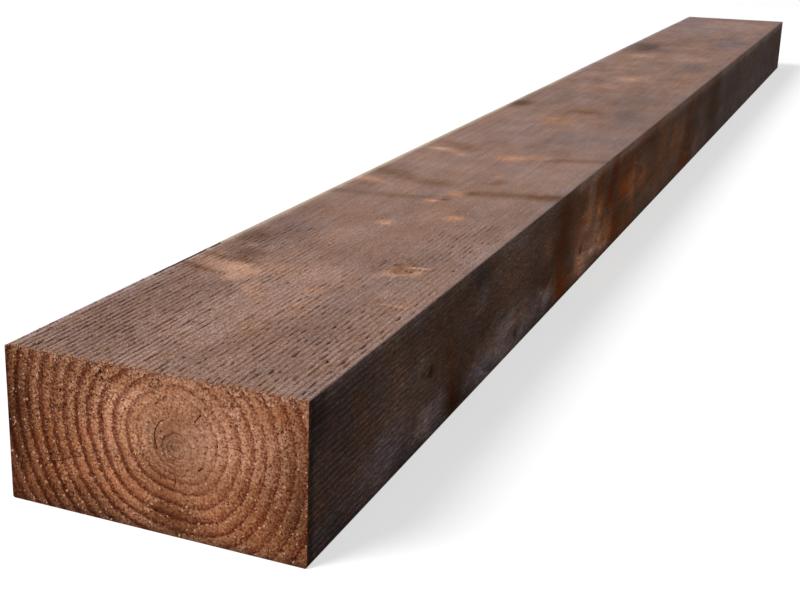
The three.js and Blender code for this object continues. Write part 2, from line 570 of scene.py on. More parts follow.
# a bent line on the top, its half-width, lighter, warmer
TOP_STROKES = [
    ([(219, 5), (212, 25), (208, 44)], 10, 0.20, 0.15), ([(203, 44), (199, 62)], 14, 0.25, 0.20),
    ([(201, 6), (194, 19), (189, 35)], 3.5, -0.45, 0.75),
    ([(228, 12), (226, 34), (222, 54)], 3.5, -0.25, 0.55),
    ([(231, 144), (240, 147), (247, 147)], 3.5, 0.35, 0.45), ([(238, 151), (244, 159)], 3.5, 0.40, 0.40),
    ([(262.5, 159), (264.5, 169)], 2.4, 0.75, 0.20), ([(247, 150), (255, 154.5)], 2.4, -0.35, 0.65),
    ([(249, 160.4), (256, 160)], 2.2, -0.45, 0.95), ([(262, 146.6), (270, 146.4)], 2.2, -0.65, 0.90),
    ([(268, 155), (274, 154.6)], 2.2, -0.40, 0.75), ([(261, 134.6), (272, 134.4)], 2, -0.15, 0.60),
    ([(264, 171.6), (270, 171.4)], 2, 0.20, 0.25), ([(173.5, 171.3), (174.7, 187.1)], 2.4, 0.35, 0.40),
    ([(690, 148), (700, 169), (707, 188), (710, 198)], 7, -0.40, 0.75),
    ([(529, 4), (523, 20), (513, 36)], 9, 0.20, 0.45),
    ([(566, 6), (560, 33), (540, 54), (535, 86)], 12, -0.40, 0.40),
    ([(464, 5), (469, 50), (474, 82), (480, 100)], 8, -0.30, -0.05),
    ([(511, 126), (514, 142), (521, 162), (525, 185), (531, 197)], 11, -0.50, 0.25),
    ([(684, 6), (686, 22)], 5, 0.00, 0.30), ([(737, 10), (727, 38), (704, 60)], 10, -0.25, 0.30),
    ([(697, 32), (675, 54)], 7, 0.35, 0.15), ([(0, 1), (2400, 1)], 5, 0.55, -0.55),
    ([(1300, 0), (2400, 0)], 5, 0.05, -0.85), ([(500, 200), (2400, 200)], 9, -0.05, -0.25),
    ([(2396, 0), (2396, 200)], 14, -0.05, -0.05), ([(0, 200), (500, 200)], 10, 0.05, -0.20),
    ([(0, 60), (600, 60)], 30, 0.05, 0.05), ([(0, 120), (600, 120)], 30, 0.00, 0.10),
]
print(len(TOP_BLOBS) + len(TOP_STROKES), "stains on the top")

# %% [markdown]
# The right side is the darkest face, partly by painted shade. Its knots lie in broad dark bands with warm
# orange wood between them, and beyond those it turns grey. Its lower part is painted a little paler, which
# is partly painted fill light, and a thin dark line of painted contact shadow runs where it stood on the
# ground.

# %% Stains on the right side
# y from the near end, distance down from the top arris; half-sizes; lighter; warmer
RIGHT_BLOBS = [
    (1, 50, 6, 200, -1.60, -0.60), (13, 14, 14, 18, -0.75, -0.60), (61, 30, 50, 24, -0.20, -0.50),
    (73, 33, 12, 14, 0.15, 0.85), (113, 80, 60, 22, 0.80, -0.70), (142, 45, 60, 22, 0.65, 0.00),
    (195, 84, 30, 14, 1.10, -0.25), (195, 50, 7, 4, -1.05, 1.40), (242, 62, 12, 30, -0.05, 0.90),
    (244, 90, 14, 16, -0.95, 2.05), (303, 9, 24, 11, -0.60, -0.50), (300, 32, 18, 11, 0.60, -0.60),
    (305, 60, 34, 20, 0.05, -0.10), (394, 30, 60, 26, 0.55, 0.10), (377, 84, 90, 20, 1.45, -0.45),
    (400, 87, 8, 5, -0.55, 0.75), (488, 80, 24, 9, 0.45, 0.20), (490, 40, 22, 16, 0.60, 1.05),
    (543, 36, 22, 44, -0.80, 3.00), (559, 88, 26, 18, -0.30, 3.00), (598, 22, 34, 22, -0.10, 1.25),
    (610, 52, 30, 20, 0.65, 0.70), (624, 82, 30, 20, 1.45, 0.50), (645, 38, 24, 20, 1.30, 0.70),
    (681, 72, 30, 26, 1.60, 0.30), (695, 42, 22, 14, 0.75, 1.85), (663, 12, 20, 14, 0.35, 0.20),
    (692, 15, 18, 14, -0.40, 3.00), (727, 76, 24, 20, 1.00, 1.05), (616, 70, 7, 5, -0.65, 0.05),
    (772, 78, 22, 18, -0.45, 3.00), (738, 46, 16, 16, 0.25, 2.25), (801, 44, 26, 20, 0.50, 3.00),
    (825, 18, 40, 14, -0.20, 1.55), (830, 84, 40, 14, -0.15, 1.50), (852, 52, 28, 26, 1.15, 1.40),
    (907, 50, 30, 26, 0.70, 1.15), (958, 60, 50, 34, 0.35, 0.80), (942, 12, 80, 14, -0.25, 1.00),
    (1037, 50, 50, 40, 0.60, 1.00), (1136, 48, 50, 28, 0.95, 0.80), (1177, 88, 34, 12, -0.30, 2.15),
    (1228, 50, 20, 60, -0.20, 2.10), (1300, 80, 30, 26, 0.05, 0.50), (1347, 60, 50, 40, 0.40, -0.10),
    (1452, 40, 50, 60, -0.65, 0.70), (1535, 60, 40, 50, 0.30, -0.65), (1622, 50, 60, 60, 0.10, -0.60),
    (1802, 60, 110, 60, 0.30, -0.70), (2045, 50, 140, 60, 0.25, -0.80), (2290, 50, 120, 60, 0.00, -0.55),
]
# a bent line on the right side, its half-width, lighter, warmer
RIGHT_STROKES = [
    ([(268.2, 90), (305.3, 67.8), (350, 55.8), (410.5, 54.8), (461.9, 67.8), (519, 88)], 4, 0.25, -0.30),
    ([(267.7, 82), (304.8, 59.8), (349.4, 46.8), (414.8, 45.8), (466.1, 57.8), (512.8, 73.9)],
     4, -0.05, 0.40),
    ([(355.9, 67.8), (395.9, 62.8), (431.5, 65.8), (457.6, 77.9)], 3, 0.40, -0.65),
    ([(757, 6), (750, 20), (737, 40)], 14, -0.65, 3.00), ([(560, 50), (640, 62), (730, 88)], 2.6, 0.00, 0.25),
    ([(600, 38), (660, 50), (720, 62)], 2.6, -0.20, 0.30), ([(661.6, 81.9), (730.9, 89.9)], 4, 0.55, -0.50),
    # painted contact shadow: the dark stroke along the bottom edge (down 100); the broad pale strokes low on
    # the side (down 88 to 92) are partly painted fill light
    ([(470, 100), (1300, 100)], 3, -0.80, -0.50), ([(0, 3), (600, 3)], 6, 0.40, -0.55),
    ([(600, 3), (2400, 3)], 8, 1.05, -0.45), ([(0, 92), (500, 92)], 16, 0.05, -0.55),
    ([(500, 90), (1300, 90)], 18, 0.55, 0.00), ([(1300, 88), (2400, 88)], 22, 0.40, -0.45),
]
print(len(RIGHT_BLOBS) + len(RIGHT_STROKES), "stains on the right side")

# %% [markdown]
# On the near end the preservative went deepest at the left edge and least round the pith, and the end is
# darker along the bottom.

# %% Stains on the near end
# x, distance down from the top; half-sizes; lighter; warmer
END_BLOBS = [
    (-96, 51, 12, 50, -1.25, 1.00), (-72, 57, 9, 34, -0.35, 0.70), (-50, 65, 14, 26, 0.00, 0.35),
    (-88, 12, 14, 10, -0.05, 0.10), (-62, 24, 22, 16, 0.00, -0.10), (-25, 39, 22, 22, 0.45, -0.30),
    (-16, 20, 16, 10, 0.45, -0.50), (26, 42, 14, 15, 0.25, -0.50), (12, 41, 7, 9, -0.30, -0.05),
    (-1, 34, 4, 9, -0.10, -0.35), (10, 69, 12, 14, -0.20, 0.45), (16, 89, 16, 10, -0.75, 0.65),
    (96, 59, 8, 44, -0.55, 0.25), (75, 83, 30, 16, -0.30, 0.45), (60, 34, 26, 24, 0.45, -0.50),
    (88, 11, 8, 8, -0.10, 0.35), (20, 12, 40, 9, 0.20, -0.25), (-60, 91, 36, 12, -0.65, 0.40),
    (-20, 77, 22, 12, 0.30, 0.15), (45, 77, 24, 12, 0.25, 0.05), (82, 59, 12, 22, -0.25, 0.10),
]
END_STROKES = [
    ([(-100, 1), (100, 1)], 3, 0.25, -0.40), ([(-100, 99), (100, 99)], 3, -0.65, -0.15),
]
print(len(END_BLOBS) + len(END_STROKES), "stains on the near end")

# %% [markdown]
# Each face gets its own stains, by its own two coordinates. The right side, which lies in shade, is also
# painted a little darker all over: painted shade. The faces that are hardly ever seen, the left side, the bed
# and the far end, get soft chance stains instead.

# %% Add up the stains and the painted shade
# painted shade: the right side, which lies in shade, is made this much darker all over
RIGHT_SIDE_PAINTED_SHADE = 0.12
WARMTH = np.array((1.20, 0.93, 0.68))  # red, green and blue where a stain is one unit warm
lighter, warmer = np.zeros(len(sawn)), np.zeros(len(sawn))
right_face = on_right & ~on_end & ~on_top
for face, first, second, blobs, strokes in (
    (on_top & ~on_end, from_near, from_left, TOP_BLOBS, TOP_STROKES),
    (right_face, from_near, down, RIGHT_BLOBS, RIGHT_STROKES),
    (on_near_end, sawn[:, 0], down, END_BLOBS, END_STROKES),
):
    lighter[face], warmer[face] = stains(sawn[face], first[face], second[face], blobs, strokes)
lighter[right_face] -= RIGHT_SIDE_PAINTED_SHADE
hidden = ~on_top & ~on_right & ~on_near_end
lighter += np.where(hidden, 0.28, 0.05) * waves(grain * (1, 0.3, 1), 48, 41)
warmer += np.where(hidden, 0.45, 0.12) * waves(grain * (1, 0.3, 1), 60, 42)
stain_and_painted_shade = np.exp(lighter)[:, None] * WARMTH ** warmer[:, None]
print("stains from", stain_and_painted_shade.min().round(2), "to", stain_and_painted_shade.max().round(2), "times the plain colour")

# %% [markdown]
# ## Torn grain
# A coarse saw tears softwood where the fibres rise against it. The tears are thin dark dashes, 10 to 25 mm
# long, that lie in the grooves of the rows. They are thickest over the first 200 mm and beyond knots. On an
# end the same softness shows as fuzz, worst at the top left. Each tear has a place and a rank of its own,
# drawn by chance for its row, and it shows where the wood is more torn than its rank.

# %% How torn the wood is
# patches of the top: y from the near end, distance from the left arris, half-sizes, how much more it is
# torn there
TORN_PATCHES = [(345, 164, 65, 28, 0.70), (300, 52, 55, 34, 0.50), (470, 160, 60, 24, 0.25)]
torn = 0.80 * np.exp(-((from_near / 210) ** 2)) + 0.30 * np.exp(-((from_near / 600) ** 2)) + 0.02
torn += 0.22 * waves(grain * (1, 0.2, 1), 46, 51) * np.exp(-from_near / 900)
rough_band = 0.20 * np.exp(-(((from_left - 30) / 34) ** 2))
clean_band = 0.25 * np.exp(-(((from_left - 92) / 24) ** 2))
torn += np.where(on_top, rough_band - clean_band, 0) * np.exp(-from_near / 300)
for y, v, half_y, half_v, more in TORN_PATCHES:
    patch = more * np.exp(-(((from_near - y) / half_y) ** 2) - ((from_left - v) / half_v) ** 2)
    torn += np.where(on_top, patch, 0)
beyond_knot = (knot_reach > 1) & (knot[:, 0] > 0) & on_top
torn += np.where(beyond_knot, 0.3 * np.exp(-((knot_reach - 1.2) ** 2) / 0.6), 0)
# on an end: worst at the top left, more in the outer rings and along the top rim, and clean round the pith
fuzz = 0.40 + 0.9 * np.exp(-(((sawn[:, 0] + 58) / 34) ** 2) - ((sawn[:, 2] - 96) / 34) ** 2)
fuzz += 0.30 * np.exp(-(((radius - 90) / 40) ** 2)) + 0.25 * np.exp(-(((sawn[:, 2] - 100) / 9) ** 2))
fuzz -= 0.60 * np.exp(-(((sawn[:, 0] - 24) / 17) ** 2) - ((sawn[:, 2] - 56) / 17) ** 2)
fuzz += 0.22 * waves(sawn, 18, 52)
torn = np.clip(np.where(on_end, fuzz, torn), 0, 1.3)
# 1 on the wide faces and 0 on the sides, whose darker browns are partly painted shade
bloom_and_side_shade = np.where(on_top | on_bed, 1.0, 0.0)  # the wide faces have a dusty bloom
# how much the fine grain shows: it is clear near the front and wears off along the baulk, sooner on the
# wide faces
coarse = 0.28 + 0.72 * np.exp(-((from_near / np.where(on_side, 1000, 420)) ** 2))
rim = np.where(on_end, 0, np.exp(-((from_near / 4.4) ** 2)))  # the last few millimetres before the near end
print("torn from", torn.min().round(2), "to", torn.max().round(2))

# %% [markdown]
# A row is cut into cells of 24 mm, and each cell holds one tear at a place, of a length and with a rank
# drawn for it. The draw has to be the same each time a cell is asked for, so it is worked out from the
# numbers of row and cell.

# %% Tears along the rows
TEAR_CELL = 24.0  # millimetres along a row that hold one tear


def chance(row, cell, salt):
    """A repeatable random number from 0 to 1 for each row and cell."""
    return np.modf(np.abs(np.sin(row * 12.9898 + cell * 78.233 + salt * 37.719)) * 43758.5453)[0]


def tears_in_row(row, along, share, stretch):
    """How deep the tear is at a distance along a row: 1 in the middle of a full one and 0 between tears."""
    best = np.zeros(len(along))
    shift = chance(row, 0, 9)
    first = np.floor(along / TEAR_CELL + shift)
    for cell in (first - 1, first, first + 1):
        middle = (cell + 0.5 + 0.8 * (chance(row, cell, 1) - 0.5) - shift) * TEAR_CELL
        half = stretch * (4.0 + 16.0 * chance(row, cell, 2) ** 2)
        shows = np.clip((share - chance(row, cell, 3)) / 0.3, 0, 1)
        best = np.maximum(best, shows * np.clip(1.8 * (1 - np.abs(along - middle) / half), 0, 1))
    return best


on_wide = on_top | on_bed
row = np.where(on_wide, (sawn[:, 0] + HALF_WIDTH - ARRIS_RADIUS) / ROW_ACROSS_MM,
               (sawn[:, 2] - ARRIS_RADIUS) / ROW_UP_MM)
row += 100 * np.select([on_top, on_bed, on_right], [0, 1, 2], 3)  # each face gets rows of its own
lower_row = np.floor(row - 0.5)
toward_next = row - 0.5 - lower_row
# on the top the tears are long at the left and short at the right
stretch = np.where(on_top, 1.25 - 0.65 * np.clip(from_left / 150, 0, 1), 1.0)
tear = (1 - toward_next) * tears_in_row(lower_row, from_near, torn, stretch)
tear += toward_next * tears_in_row(lower_row + 1, from_near, torn, stretch)
tear = np.where(on_side, 0.3, 1.0) * tear
# how clearly the rows themselves show
row_show = np.exp(-((from_near / 260) ** 2)) * 0.9 + 0.10 * np.exp(-((from_near / 1000) ** 2))
row_show *= np.clip(0.9 + 0.5 * waves(grain * (1, 0.25, 1), 50, 57), 0.2, 1.2)
from_edge_x, from_edge_z = HALF_WIDTH - np.abs(sawn[:, 0]), THICKNESS / 2 - np.abs(sawn[:, 2] - THICKNESS / 2)
off_corner = np.where(on_wide, from_edge_x, from_edge_z) > ARRIS_RADIUS - 0.1  # the arrises have no rows
tear, row_show = tear * off_corner, row_show * off_corner
print("share of the top that is torn:", round(float((tear[on_top] > 0.5).mean()), 3))

# %% [markdown]
# Toward the right arris and beside the second knot the grain rises, and there the saw pulled out whole
# bundles. These few holes are listed, each in the middle of the nearest row.

# %% The deepest tears
# y from the near end, distance from the left edge of the top, half-length, all in mm
DEEP_TEARS = [
    (31, 162.4, 7), (35, 166.4, 4), (26, 158.5, 5), (64, 192.9, 6), (94, 192.9, 6), (111, 189, 3),
    (124, 192.9, 6), (151, 193.9, 6), (185, 191.5, 5), (210, 193.9, 4), (122, 168.8, 4), (119, 160.5, 5),
    (91, 168.8, 4), (62, 163.9, 4), (61, 183.1, 3), (198, 77.8, 4), (155, 166.4, 4), (207, 146.6, 4),
    (13, 14.6, 5), (271, 186.1, 3), (267, 147, 5), (271, 157, 4), (253, 161, 3), (255, 157, 2),
]
deep = np.zeros(len(sawn))
for y, v, half in DEEP_TEARS:
    own_row = round((v - ARRIS_RADIUS) / ROW_ACROSS_MM - 0.5) + 0.5
    in_row = np.clip(1 - 2 * np.abs(row - own_row), 0, 1)
    deep = np.maximum(deep, in_row * np.clip(1.4 * (1 - np.abs(from_near - y) / (half + 1)), 0, 1))
print(len(DEEP_TEARS), "deep tears,", int((deep > 0.5).sum()), "points")

# %% [markdown]
# ## How clearly the rings show, and where the arris is rubbed
# The rings of the first years are faint and the outer ones strong, and over the pith the fuzz hides them.
# The left arris has a long thin chip and a short one, painted nearly black inside as painted shade, and
# beyond them the brown has been rubbed off, so pale wood shows in a line.

# %% Clear rings and the rubbed arris
ring_show = 0.35 + 0.65 * np.clip((radius - 14) / 34, 0, 1)
ring_show -= 0.45 * np.exp(-(((angle - math.radians(100)) / math.radians(50)) ** 2)) * (radius > 12)
ring_show = np.clip(ring_show + 0.15 * waves(sawn, 30, 55), 0.12, 1.0)
ring_show = np.where(on_side, 0.15 + 0.75 * np.clip(bulge / 6, 0, 1), np.where(on_end, ring_show, 0.20))
# the dark latewood, as a share of its year, is wider on the left, where the tree leaned
late_width = np.where(on_end, 0.16 + 0.24 * (1 - np.cos(angle)) / 2, 0.30)
CHIPS = ((161, 237), (242, 259))  # each chip's ends, in mm from the near end, along the left arris
RUBBED_TO = 1390  # and from the end of the last chip to here the arris is rubbed
to_left_arris = np.hypot(sawn[:, 0] + HALF_WIDTH, sawn[:, 2] - THICKNESS)
in_chips = sum((from_near > start) & (from_near < end) for start, end in CHIPS)
chipped = np.exp(-((to_left_arris / 3.4) ** 2)) * in_chips
chipped *= np.clip(0.8 + 0.6 * waves(sawn, 24, 58), 0.2, 1)
rubbed = np.exp(-((to_left_arris / 3.6) ** 2)) * (from_near > CHIPS[-1][1]) * (from_near < RUBBED_TO)
rubbed *= np.clip(0.85 + 0.4 * waves(sawn, 120, 56), 0, 1)
print("chips", [end - start for start, end in CHIPS], "mm long")

# %% [markdown]
# ## Checks on the near end
# As the baulk dried, a few short cracks opened on the end. One runs round the fourth ring, to the left of
# the pith, one follows the rings at the left, and the rest point away from the pith. Each point stores how
# far it is to one side of the nearest crack and how far along it, so that the material can draw a crack
# thinner than the mesh.

# %% The cracks as short lines
# x and z of the points on each crack on the near end, and its width, all in mm
CRACKS = [
    ([(29, 74.3), (31.2, 76.7), (33.5, 79.5)], 0.55),
    ([(31.1, 44.9), (32.6, 45.7), (34, 47.3)], 0.9),
    ([(9.1, 71.8), (6.5, 70.4), (3.9, 66.3), (2.6, 62.1), (3, 57.4), (4.3, 53.4)], 0.6),
    ([(-72.1, 29.7), (-63.6, 31.7), (-60.7, 33), (-52.6, 36.9), (-48.9, 37.1)], 0.35),
    ([(-33.2, 68.4), (-32.8, 65.8), (-31.9, 62.9)], 0.7),
    ([(43.5, 64.5), (43.9, 61.9)], 0.4),
    ([(47.3, 62.8), (52.3, 63.4), (58.9, 62.7)], 0.22),
    ([(26.3, 92.4), (29.3, 90.4)], 0.5),
    ([(-33.1, 95.1), (-32.3, 92.6)], 1.3),
    ([(-32.3, 91.2), (-31.3, 89.4)], 1.1),
    ([(-61.2, 78.6), (-62, 76.1)], 1),
    ([(16.5, 38.2), (15.5, 31.8)], 0.3),
]
NO_CRACK = 50.0  # millimetres, for points that have no crack near them
crack = np.tile((NO_CRACK, 0.0, 0.0), (len(sawn), 1))
closest = np.full(len(sawn), NO_CRACK)
for line, width in CRACKS:
    for (x0, z0), (x1, z1) in zip(line, line[1:]):
        start, way = np.array((x0, z0)), np.array((x1 - x0, z1 - z0))
        length = np.linalg.norm(way)
        way = way / length
        away = sawn[:, [0, 2]] - start
        share = away @ way / length
        beside = away @ np.array((-way[1], way[0]))
        gap = np.abs(beside) + length * np.maximum(0, np.abs(share - 0.5) - 0.5)
        won = (gap < closest) & on_near_end
        closest[won] = gap[won]
        crack[won] = np.stack([beside, share, np.full(len(beside), width)], -1)[won]
print(len(CRACKS), "cracks")

# %% [markdown]
# ## Relief
# Real depth is put into the mesh wherever the mesh is fine enough to carry it. The rows get their grooves,
# and the tears are cut deeper into them. Saw and weather wear the soft earlywood below the latewood, the
# wood beyond a dead knot is torn out, and the end is pitted where bundles of fibre came away. All of it
# goes inwards from the sawn face, so that the baulk keeps its size.

# %% Push the relief into the surface
LEFT_STANDING = 0.10  # relief shallower than this, in mm, is left out, so the highest wood keeps its size
timber_mesh.vertices.foreach_set("co", places.ravel())
timber_mesh.update()
outward = np.array([v.normal for v in timber_mesh.vertices])
draw = np.random.default_rng(60)
year_share = age % 1.0
late = np.clip((year_share - 0.55) / 0.35, 0, 1) * (year_share < 0.985)  # 1 on the hard latewood of each ring
depth = 0.14 * (1 + waves(sawn * (1, 0.25, 1), 60, 61))  # the saw's slow wander
in_groove = 0.5 - 0.5 * np.cos(2 * np.pi * row)  # 1 in the groove of each row and 0 on the ridge
depth += np.where(on_end, 0, in_groove * (0.16 * row_show + 0.40 * tear))
depth += np.where(on_end, 0.03 * ring_show, 0.04) * (1 - late)
beyond = np.exp(-(((knot[:, 0] - 1.5) / 0.7) ** 2) - (knot[:, 1] / 0.8) ** 2)
depth += np.where(~on_end & (knot_look < 0.5), 0.5 * beyond * (0.6 + 0.4 * waves(sawn, 7, 62)), 0)
depth += np.where(on_end, torn * (0.16 * (1 + waves(sawn, 4, 63)) + 0.30 * draw.random(len(sawn))), 0)
hole = (draw.random(len(sawn)) < np.where(on_end, 0.003 + 0.050 * torn**2, 0)).astype(float)
depth += 0.5 * hole
depth += np.where(on_near_end, 0.5 * np.exp(-((closest / 0.6) ** 2)), 0)
depth += 0.25 * chipped + 0.9 * deep
end_rim = np.minimum(sawn[:, 2], HALF_WIDTH - np.abs(sawn[:, 0]))
off_rim = np.where(on_end, end_rim, np.where(on_side, sawn[:, 2], 9))
depth *= np.clip(off_rim / 2.5, 0.1, 1)  # the lower rims stay clean
depth = np.maximum(depth - LEFT_STANDING, 0)
outward[on_end] = np.sign(sawn[on_end, 1])[:, None] * (0, 1, 0)
places = places - outward * depth[:, None]
print("relief up to", depth.max().round(2), "mm deep")

# %% [markdown]
# The saw left the wood at the top rim of the near end and took small bits out of it, each a millimetre or
# so wide. So the points on the rim are dropped and drawn back by chance. After that the mesh turns from
# millimetres to metres.

# %% Break up the top rim of the near end
MM_PER_M = 1000
top_rim = on_near_end & (down < 0.2)
places[top_rim, 2] -= 1.3 * draw.random(top_rim.sum()) ** 1.5
places[top_rim, 1] += 1.1 * draw.random(top_rim.sum()) ** 1.5
timber_mesh.vertices.foreach_set("co", (places / MM_PER_M).ravel())
timber_mesh.update()
print(int(top_rim.sum()), "points on the rim")

# %% [markdown]
# Smooth shading hides the facets of the relief. The corners between faces would look soft with it, so edges
# sharper than a set angle are kept crisp.

# %% Shade it smooth, with crisp corners
CRISP_ANGLE = math.radians(48)
timber_mesh.polygons.foreach_set("use_smooth", np.ones(len(timber_mesh.polygons), bool))
timber_mesh.set_sharp_from_angle(angle=CRISP_ANGLE)
print("corners sharper than", round(math.degrees(CRISP_ANGLE)), "degrees stay crisp")

# %% [markdown]
# ## Handing the wood to the materials
# What was worked out per point is stored on the mesh as named attributes, which a material can read like a
# picture that was painted in three dimensions.

# %% Store the attributes
def store(mesh, name, values):
    """Keeps one number or three numbers for each point of a mesh under a name."""
    kind, field = ("FLOAT_VECTOR", "vector") if values.ndim == 2 else ("FLOAT", "value")
    mesh.attributes.new(name, kind, "POINT").data.foreach_set(field, values.astype(np.float32).ravel())


no_third = np.zeros(len(grain))
lying = np.stack([grain[:, 0] - grain[:, 2], grain[:, 1], no_third], -1)  # across and along the fibres
cut = np.stack([grain[:, 0], grain[:, 2], no_third], -1)  # the two ways across the fibres
ray = np.stack([np.cos(angle), np.sin(angle), radius], -1)
rows = np.stack([row, tear, row_show], -1)
for name, values in (("lying", lying), ("cut", cut), ("age", age), ("knot", knot), ("knot_look", knot_look),
                     ("stain_and_painted_shade", stain_and_painted_shade), ("torn", torn), ("bloom_and_side_shade", bloom_and_side_shade), ("crack", crack), ("ray", ray),
                     ("rows", rows), ("ring_show", ring_show), ("late_width", late_width), ("rubbed", rubbed),
                     ("chipped", chipped), ("hole", hole), ("deep", deep), ("coarse", coarse), ("rim", rim)):
    store(timber_mesh, name, values)
timber = bpy.data.objects.new("sleeper_timber", timber_mesh)
bpy.context.scene.collection.objects.link(timber)
triangles = sum(len(p.vertices) - 2 for p in timber_mesh.polygons)
print("sleeper_timber has", triangles, "triangles")

# %% [markdown]
# ## Patterns that both materials use
# Two kinds of pattern make up sawn wood. Smooth noise, stretched along the fibres, gives streaks and
# mottling. Single marks, such as a tear or a pit, come from scattered cells: each cell of a grid gets one
# mark at a random place, and a random number in the cell says whether it shows at all. All sizes are in
# millimetres on the wood.

# %% Variation and marks in millimetres
def variation(tree, place, size, detail=2.0, rough=0.5):
    """A smooth pattern with features of a given size, in mm, along the two axes of a flat place."""
    squeezed = add(tree, "VectorMath", {0: place, 1: (1 / size[0], 1 / size[1], 0)}, operation="MULTIPLY")
    return add(tree, "TexNoise", {"Vector": squeezed, "Scale": 1.0, "Detail": detail, "Roughness": rough},
               noise_dimensions="2D")


def marks(tree, place, cell, half, share, scatter=1.0):
    """Scattered oval marks, 1 in the middle, 0 outside, with cell and half-size in mm. Share of them show."""
    squeezed = add(tree, "VectorMath", {0: place, 1: (1 / cell[0], 1 / cell[1], 0)}, operation="MULTIPLY")
    cells = add(tree, "TexVoronoi", {"Vector": squeezed, "Scale": 1.0, "Randomness": scatter},
                voronoi_dimensions="2D")
    away = add(tree, "VectorMath", {0: squeezed, 1: cells.outputs["Position"]}, operation="SUBTRACT")
    away = add(tree, "VectorMath", {0: away, 1: (cell[0] / half[0], cell[1] / half[1], 0)},
               operation="MULTIPLY")
    reach = add(tree, "VectorMath", {0: away}, operation="LENGTH").outputs["Value"]
    dice = add(tree, "SeparateColor", {0: cells.outputs["Color"]})
    spread = add(tree, "MapRange", {"Value": dice.outputs["Green"], "To Min": 0.45, "To Max": 1.1})
    shape = add(tree, "MapRange", {"Value": reach, "From Min": spread, "From Max": 0.0, "To Min": 0.0,
                                   "To Max": 2.0})
    shows = add(tree, "Math", {0: dice.outputs["Red"], 1: share}, operation="LESS_THAN")
    return add(tree, "Math", {0: shape, 1: shows}, operation="MULTIPLY", use_clamp=True)


def shaded(tree, colour, shade, warmth):
    """A colour made darker or lighter. Dark wood also gets warmer and light wood greyer, by channel."""
    change = add(tree, "Math", {0: shade, 1: 1.0}, operation="SUBTRACT")
    tint = add(tree, "VectorMath", {0: change, 1: warmth, 2: (1, 1, 1)}, operation="MULTIPLY_ADD")
    colour = add(tree, "VectorMath", {0: colour, "Scale": shade}, operation="SCALE")
    return add(tree, "VectorMath", {0: colour, 1: tint}, operation="MULTIPLY")


print("patterns ready")

# %% [markdown]
# ## Sawn long faces
# Spruce, rough sawn along the grain, then brown preservative. What that gives the eye: a matt brown,
# streaked along the grain by fibres about half a millimetre wide, with thin dark tears in rows where the
# saw lifted the fibres, orange knots, and a mauve-grey bloom on the faces that lie open. The narrow sides
# are darker, partly by painted shade.

# %% Read the wood for the long grain
long_grain, tree = new_material("spruce sawn along the grain, brown preservative")
here = {name: add(tree, "Attribute", attribute_name=name).outputs["Fac"]
        for name in ("age", "torn", "bloom_and_side_shade", "knot_look", "rubbed", "chipped", "ring_show", "late_width",
                     "deep", "coarse", "rim")}
fibre = add(tree, "Attribute", attribute_name="lying").outputs["Vector"]
knot_place = add(tree, "Attribute", attribute_name="knot").outputs["Vector"]
stain_and_shade_colour = add(tree, "Attribute", attribute_name="stain_and_painted_shade").outputs["Vector"]

# sizes in mm across and along the fibres; real fibres are far finer, so these are as coarse as they need to
# show
fine = variation(tree, fibre, (1.1, 13), 3.0, 0.65)
streak = variation(tree, fibre, (4.5, 60), 3.0, 0.55)
blotch = variation(tree, fibre, (32, 60), 3.0, 0.6)
mottle = variation(tree, fibre, (20, 44), 2.0)
speckle = variation(tree, fibre, (1.3, 3.0), 2.0, 0.7)
dust = variation(tree, fibre, (1.1, 1.6), 1.0, 0.6)
thread = variation(tree, fibre, (1.4, 8), 2.0, 0.6)
clumps = variation(tree, fibre, (4.5, 3.5), 2.0)
print("wood read by", len(tree.nodes), "nodes")

# %% [markdown]
# The mesh already carries the rows and their tears, but its cells are 2 mm wide and a tear is only 1 mm
# wide. So the material takes the depth of the tear from the mesh, multiplies it by the groove's own profile
# and keeps only the deepest part. A little noise frays the edges. Shorter tears and single pits are
# scattered between the rows.

# %% Rows of tears
row_split = add(tree, "SeparateXYZ", {0: add(tree, "Attribute", attribute_name="rows").outputs["Vector"]})
row_place = add(tree, "Math", {0: streak, 1: 0.35, 2: row_split.outputs["X"]}, operation="MULTIPLY_ADD")
row_phase = add(tree, "Math", {0: row_place, 1: 2 * math.pi}, operation="MULTIPLY")
row_wave = add(tree, "Math", {0: row_phase}, operation="COSINE")
# 1 in a groove and 0 on a ridge
groove = add(tree, "Math", {0: row_wave, 1: -0.5, 2: 0.5}, operation="MULTIPLY_ADD")
sharp_groove = add(tree, "Math", {0: groove, 1: 3.2}, operation="POWER")
row_tear = add(tree, "Math", {0: row_split.outputs["Y"], 1: 0.50, 2: 0.46}, operation="MULTIPLY_ADD")
torn_deep = add(tree, "Math", {0: sharp_groove, 1: row_tear}, operation="MULTIPLY")
for pattern, gain in ((thread, 0.40), (speckle, 0.34)):
    part = add(tree, "MapRange", {"Value": pattern, "From Min": 0.3, "From Max": 0.7, "To Min": -gain,
                                  "To Max": gain})
    torn_deep = add(tree, "Math", {0: torn_deep, 1: part}, operation="ADD")
held = add(tree, "MapRange", {"Value": here["torn"], "From Max": 0.9, "To Min": 0.62, "To Max": 0.0})
torn_deep = add(tree, "Math", {0: torn_deep, 1: held}, operation="SUBTRACT")
row_tears = add(tree, "MapRange", {"Value": torn_deep, "From Min": 0.50, "From Max": 1.0})

few = add(tree, "Math", {0: here["torn"], 1: 0.10}, operation="MULTIPLY")
pits = marks(tree, fibre, (8.0, 22.0), (0.75, 3.6), few)
tears = add(tree, "Math", {0: row_tears, 1: pits}, operation="MAXIMUM")
deepest = add(tree, "Math", {0: here["deep"], 1: sharp_groove}, operation="MULTIPLY")
deepest = add(tree, "MapRange", {"Value": deepest, "From Min": 0.32, "From Max": 0.85})
tears = add(tree, "Math", {0: tears, 1: deepest}, operation="MAXIMUM")
print("with the tears,", len(tree.nodes), "nodes")

# %% [markdown]
# A knot is a disc of hard wood with its own fine rings and a darker rim. Its edge is soft, because the
# fibres of trunk and branch run into each other. Dead knots are dark all through.

